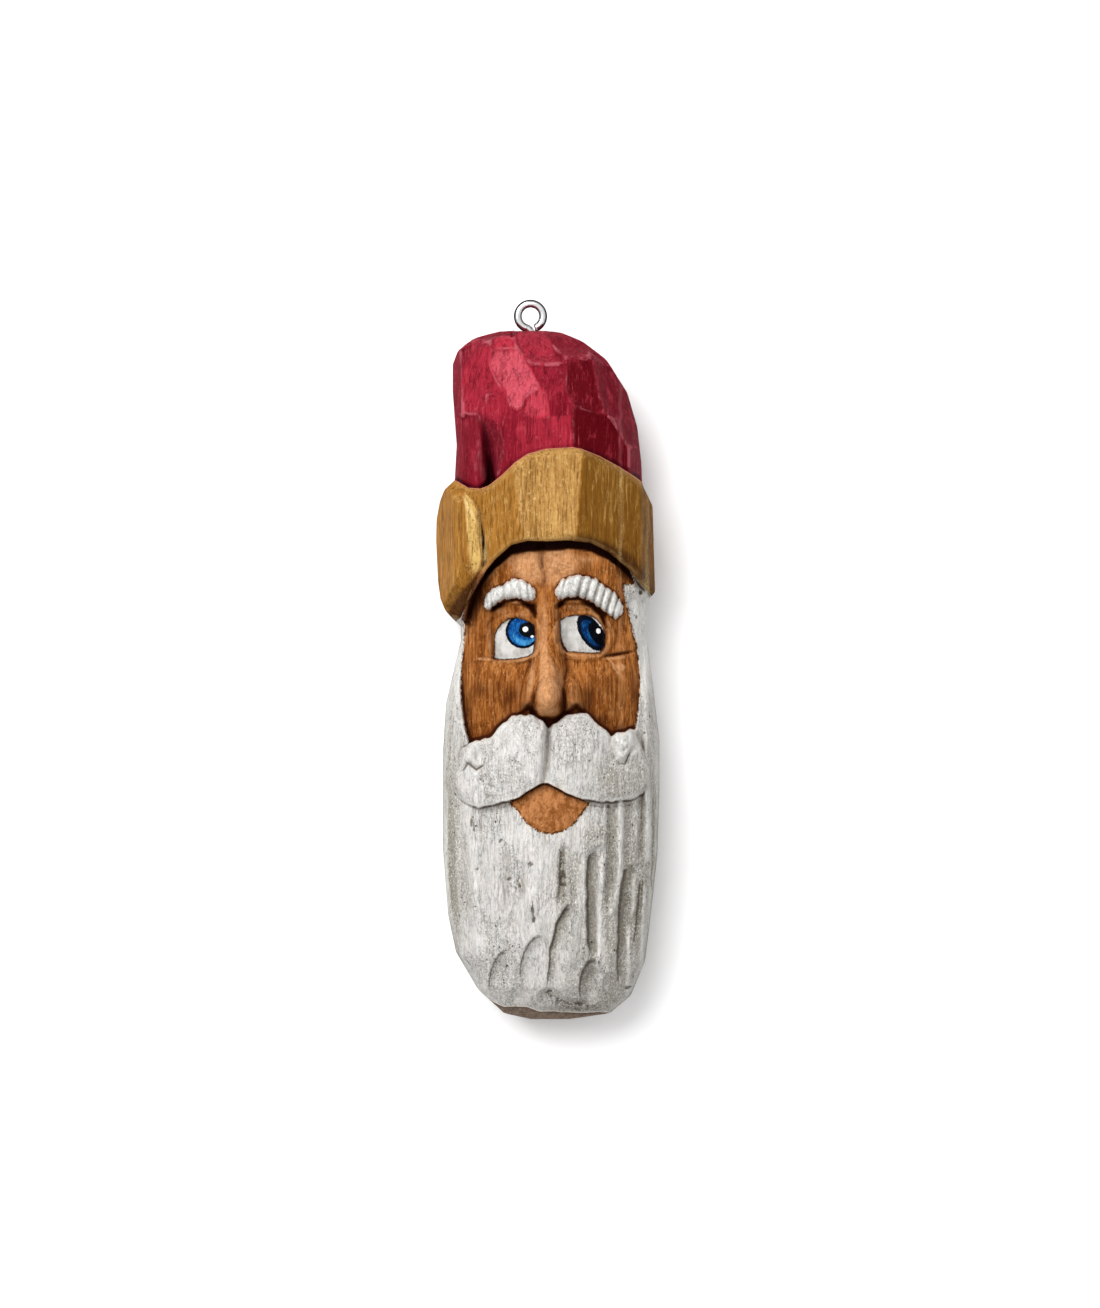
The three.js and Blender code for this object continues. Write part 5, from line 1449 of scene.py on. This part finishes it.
nodes, links, surface, place = new_finish("plated_steel", hanger)
surface.inputs["Metallic"].default_value = 1
surface.inputs["Specular Tint"].default_value = (0, 0, 0, 1)
smudge = speckle(1.2, 1.2, 1.2, 3, 0.6, 2)
scratch = speckle(0.12, 0.5, 0.12, 2, 0.6, 7)
plating = tint(fade(smudge, 0.35, 0.7), colour(255, 255, 255), colour(232, 232, 232))
# Painted dark reflection along the wire's inner and outer sides
from_centre = nodes.new("ShaderNodeVectorMath")
from_centre.operation = "DISTANCE"
links.new(place, from_centre.inputs[0])
from_centre.inputs[1].default_value = ring_centre
from_bend = apart(from_centre.outputs["Value"], RING_RADIUS)
painted_dark_edge = fade(from_bend, 0.5 * WIRE_RADIUS, 0.85 * WIRE_RADIUS)
links.new(tint(painted_dark_edge, plating, colour(22, 21, 20)), surface.inputs["Base Color"])
links.new(fade(smudge, 0.3, 0.7, 0.1, 0.2), surface.inputs["Roughness"])
bumped(both(scratch, 0.006))

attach(hanger, "root")
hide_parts("screw_eye")

# FLOOR, LIGHT AND CAMERA
# The figure lies on its back on a white sheet, lit softly from the upper left, and the camera
# looks straight down at it.

floor_shape = bmesh.new()
bmesh.ops.create_grid(floor_shape, x_segments=1, y_segments=1, size=1.5)
floor = taken_up(floor_shape, "white_sheet", "white_sheet")
nodes, links, surface, place = new_finish("white_paper", floor)
surface.inputs["Base Color"].default_value = (0.98, 0.98, 0.98, 1)
surface.inputs["Roughness"].default_value = 1
surface.inputs["Specular IOR Level"].default_value = 0
floor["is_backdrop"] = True

lamp = bpy.data.lights.new("softbox_left", "AREA")
lamp.size, lamp.energy = 0.8, 15.5
softbox = bpy.data.objects.new("softbox_left", lamp)
softbox.location = (-0.4, 0.52, 1.0)
softbox.rotation_euler = (-softbox.location).to_track_quat("-Z", "Y").to_euler()
bpy.context.collection.objects.link(softbox)

room = bpy.data.worlds.new("pale_room")
room.use_nodes = True
bpy.context.scene.world = room
nodes, links = room.node_tree.nodes, room.node_tree.links
split = nodes.new("ShaderNodeSeparateXYZ")
links.new(nodes.new("ShaderNodeTexCoord").outputs["Generated"], split.inputs[0])
shade = nodes.new("ShaderNodeValToRGB")
horizon, overhead_light = shade.color_ramp.elements
horizon.position, horizon.color = 0.0, (0.12, 0.12, 0.125, 1)
overhead_light.position, overhead_light.color = 0.75, (1, 1, 1, 1)
links.new(split.outputs["Z"], shade.inputs[0])
links.new(shade.outputs[0], nodes["Background"].inputs["Color"])
nodes["Background"].inputs["Strength"].default_value = 0.95

SENSOR_WIDTH = 36
VIEW_WIDTH, VIEW_PLANE, VIEW_DISTANCE = 0.165, 0.008, 1.2
camera = bpy.data.cameras.new("overhead")
camera.sensor_fit, camera.sensor_width = "HORIZONTAL", SENSOR_WIDTH
camera.lens = SENSOR_WIDTH * VIEW_DISTANCE / VIEW_WIDTH
camera.clip_start, camera.clip_end = 0.01, 10
overhead = bpy.data.objects.new("overhead", camera)
overhead.location = (0.0003, 0.0008, VIEW_PLANE + VIEW_DISTANCE)
bpy.context.collection.objects.link(overhead)
bpy.context.scene.camera = overhead
bpy.context.scene.view_settings.view_transform = "Standard"

{"solid": [list(corner) for corner in solid_box], "visual": [list(corner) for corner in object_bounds()]}
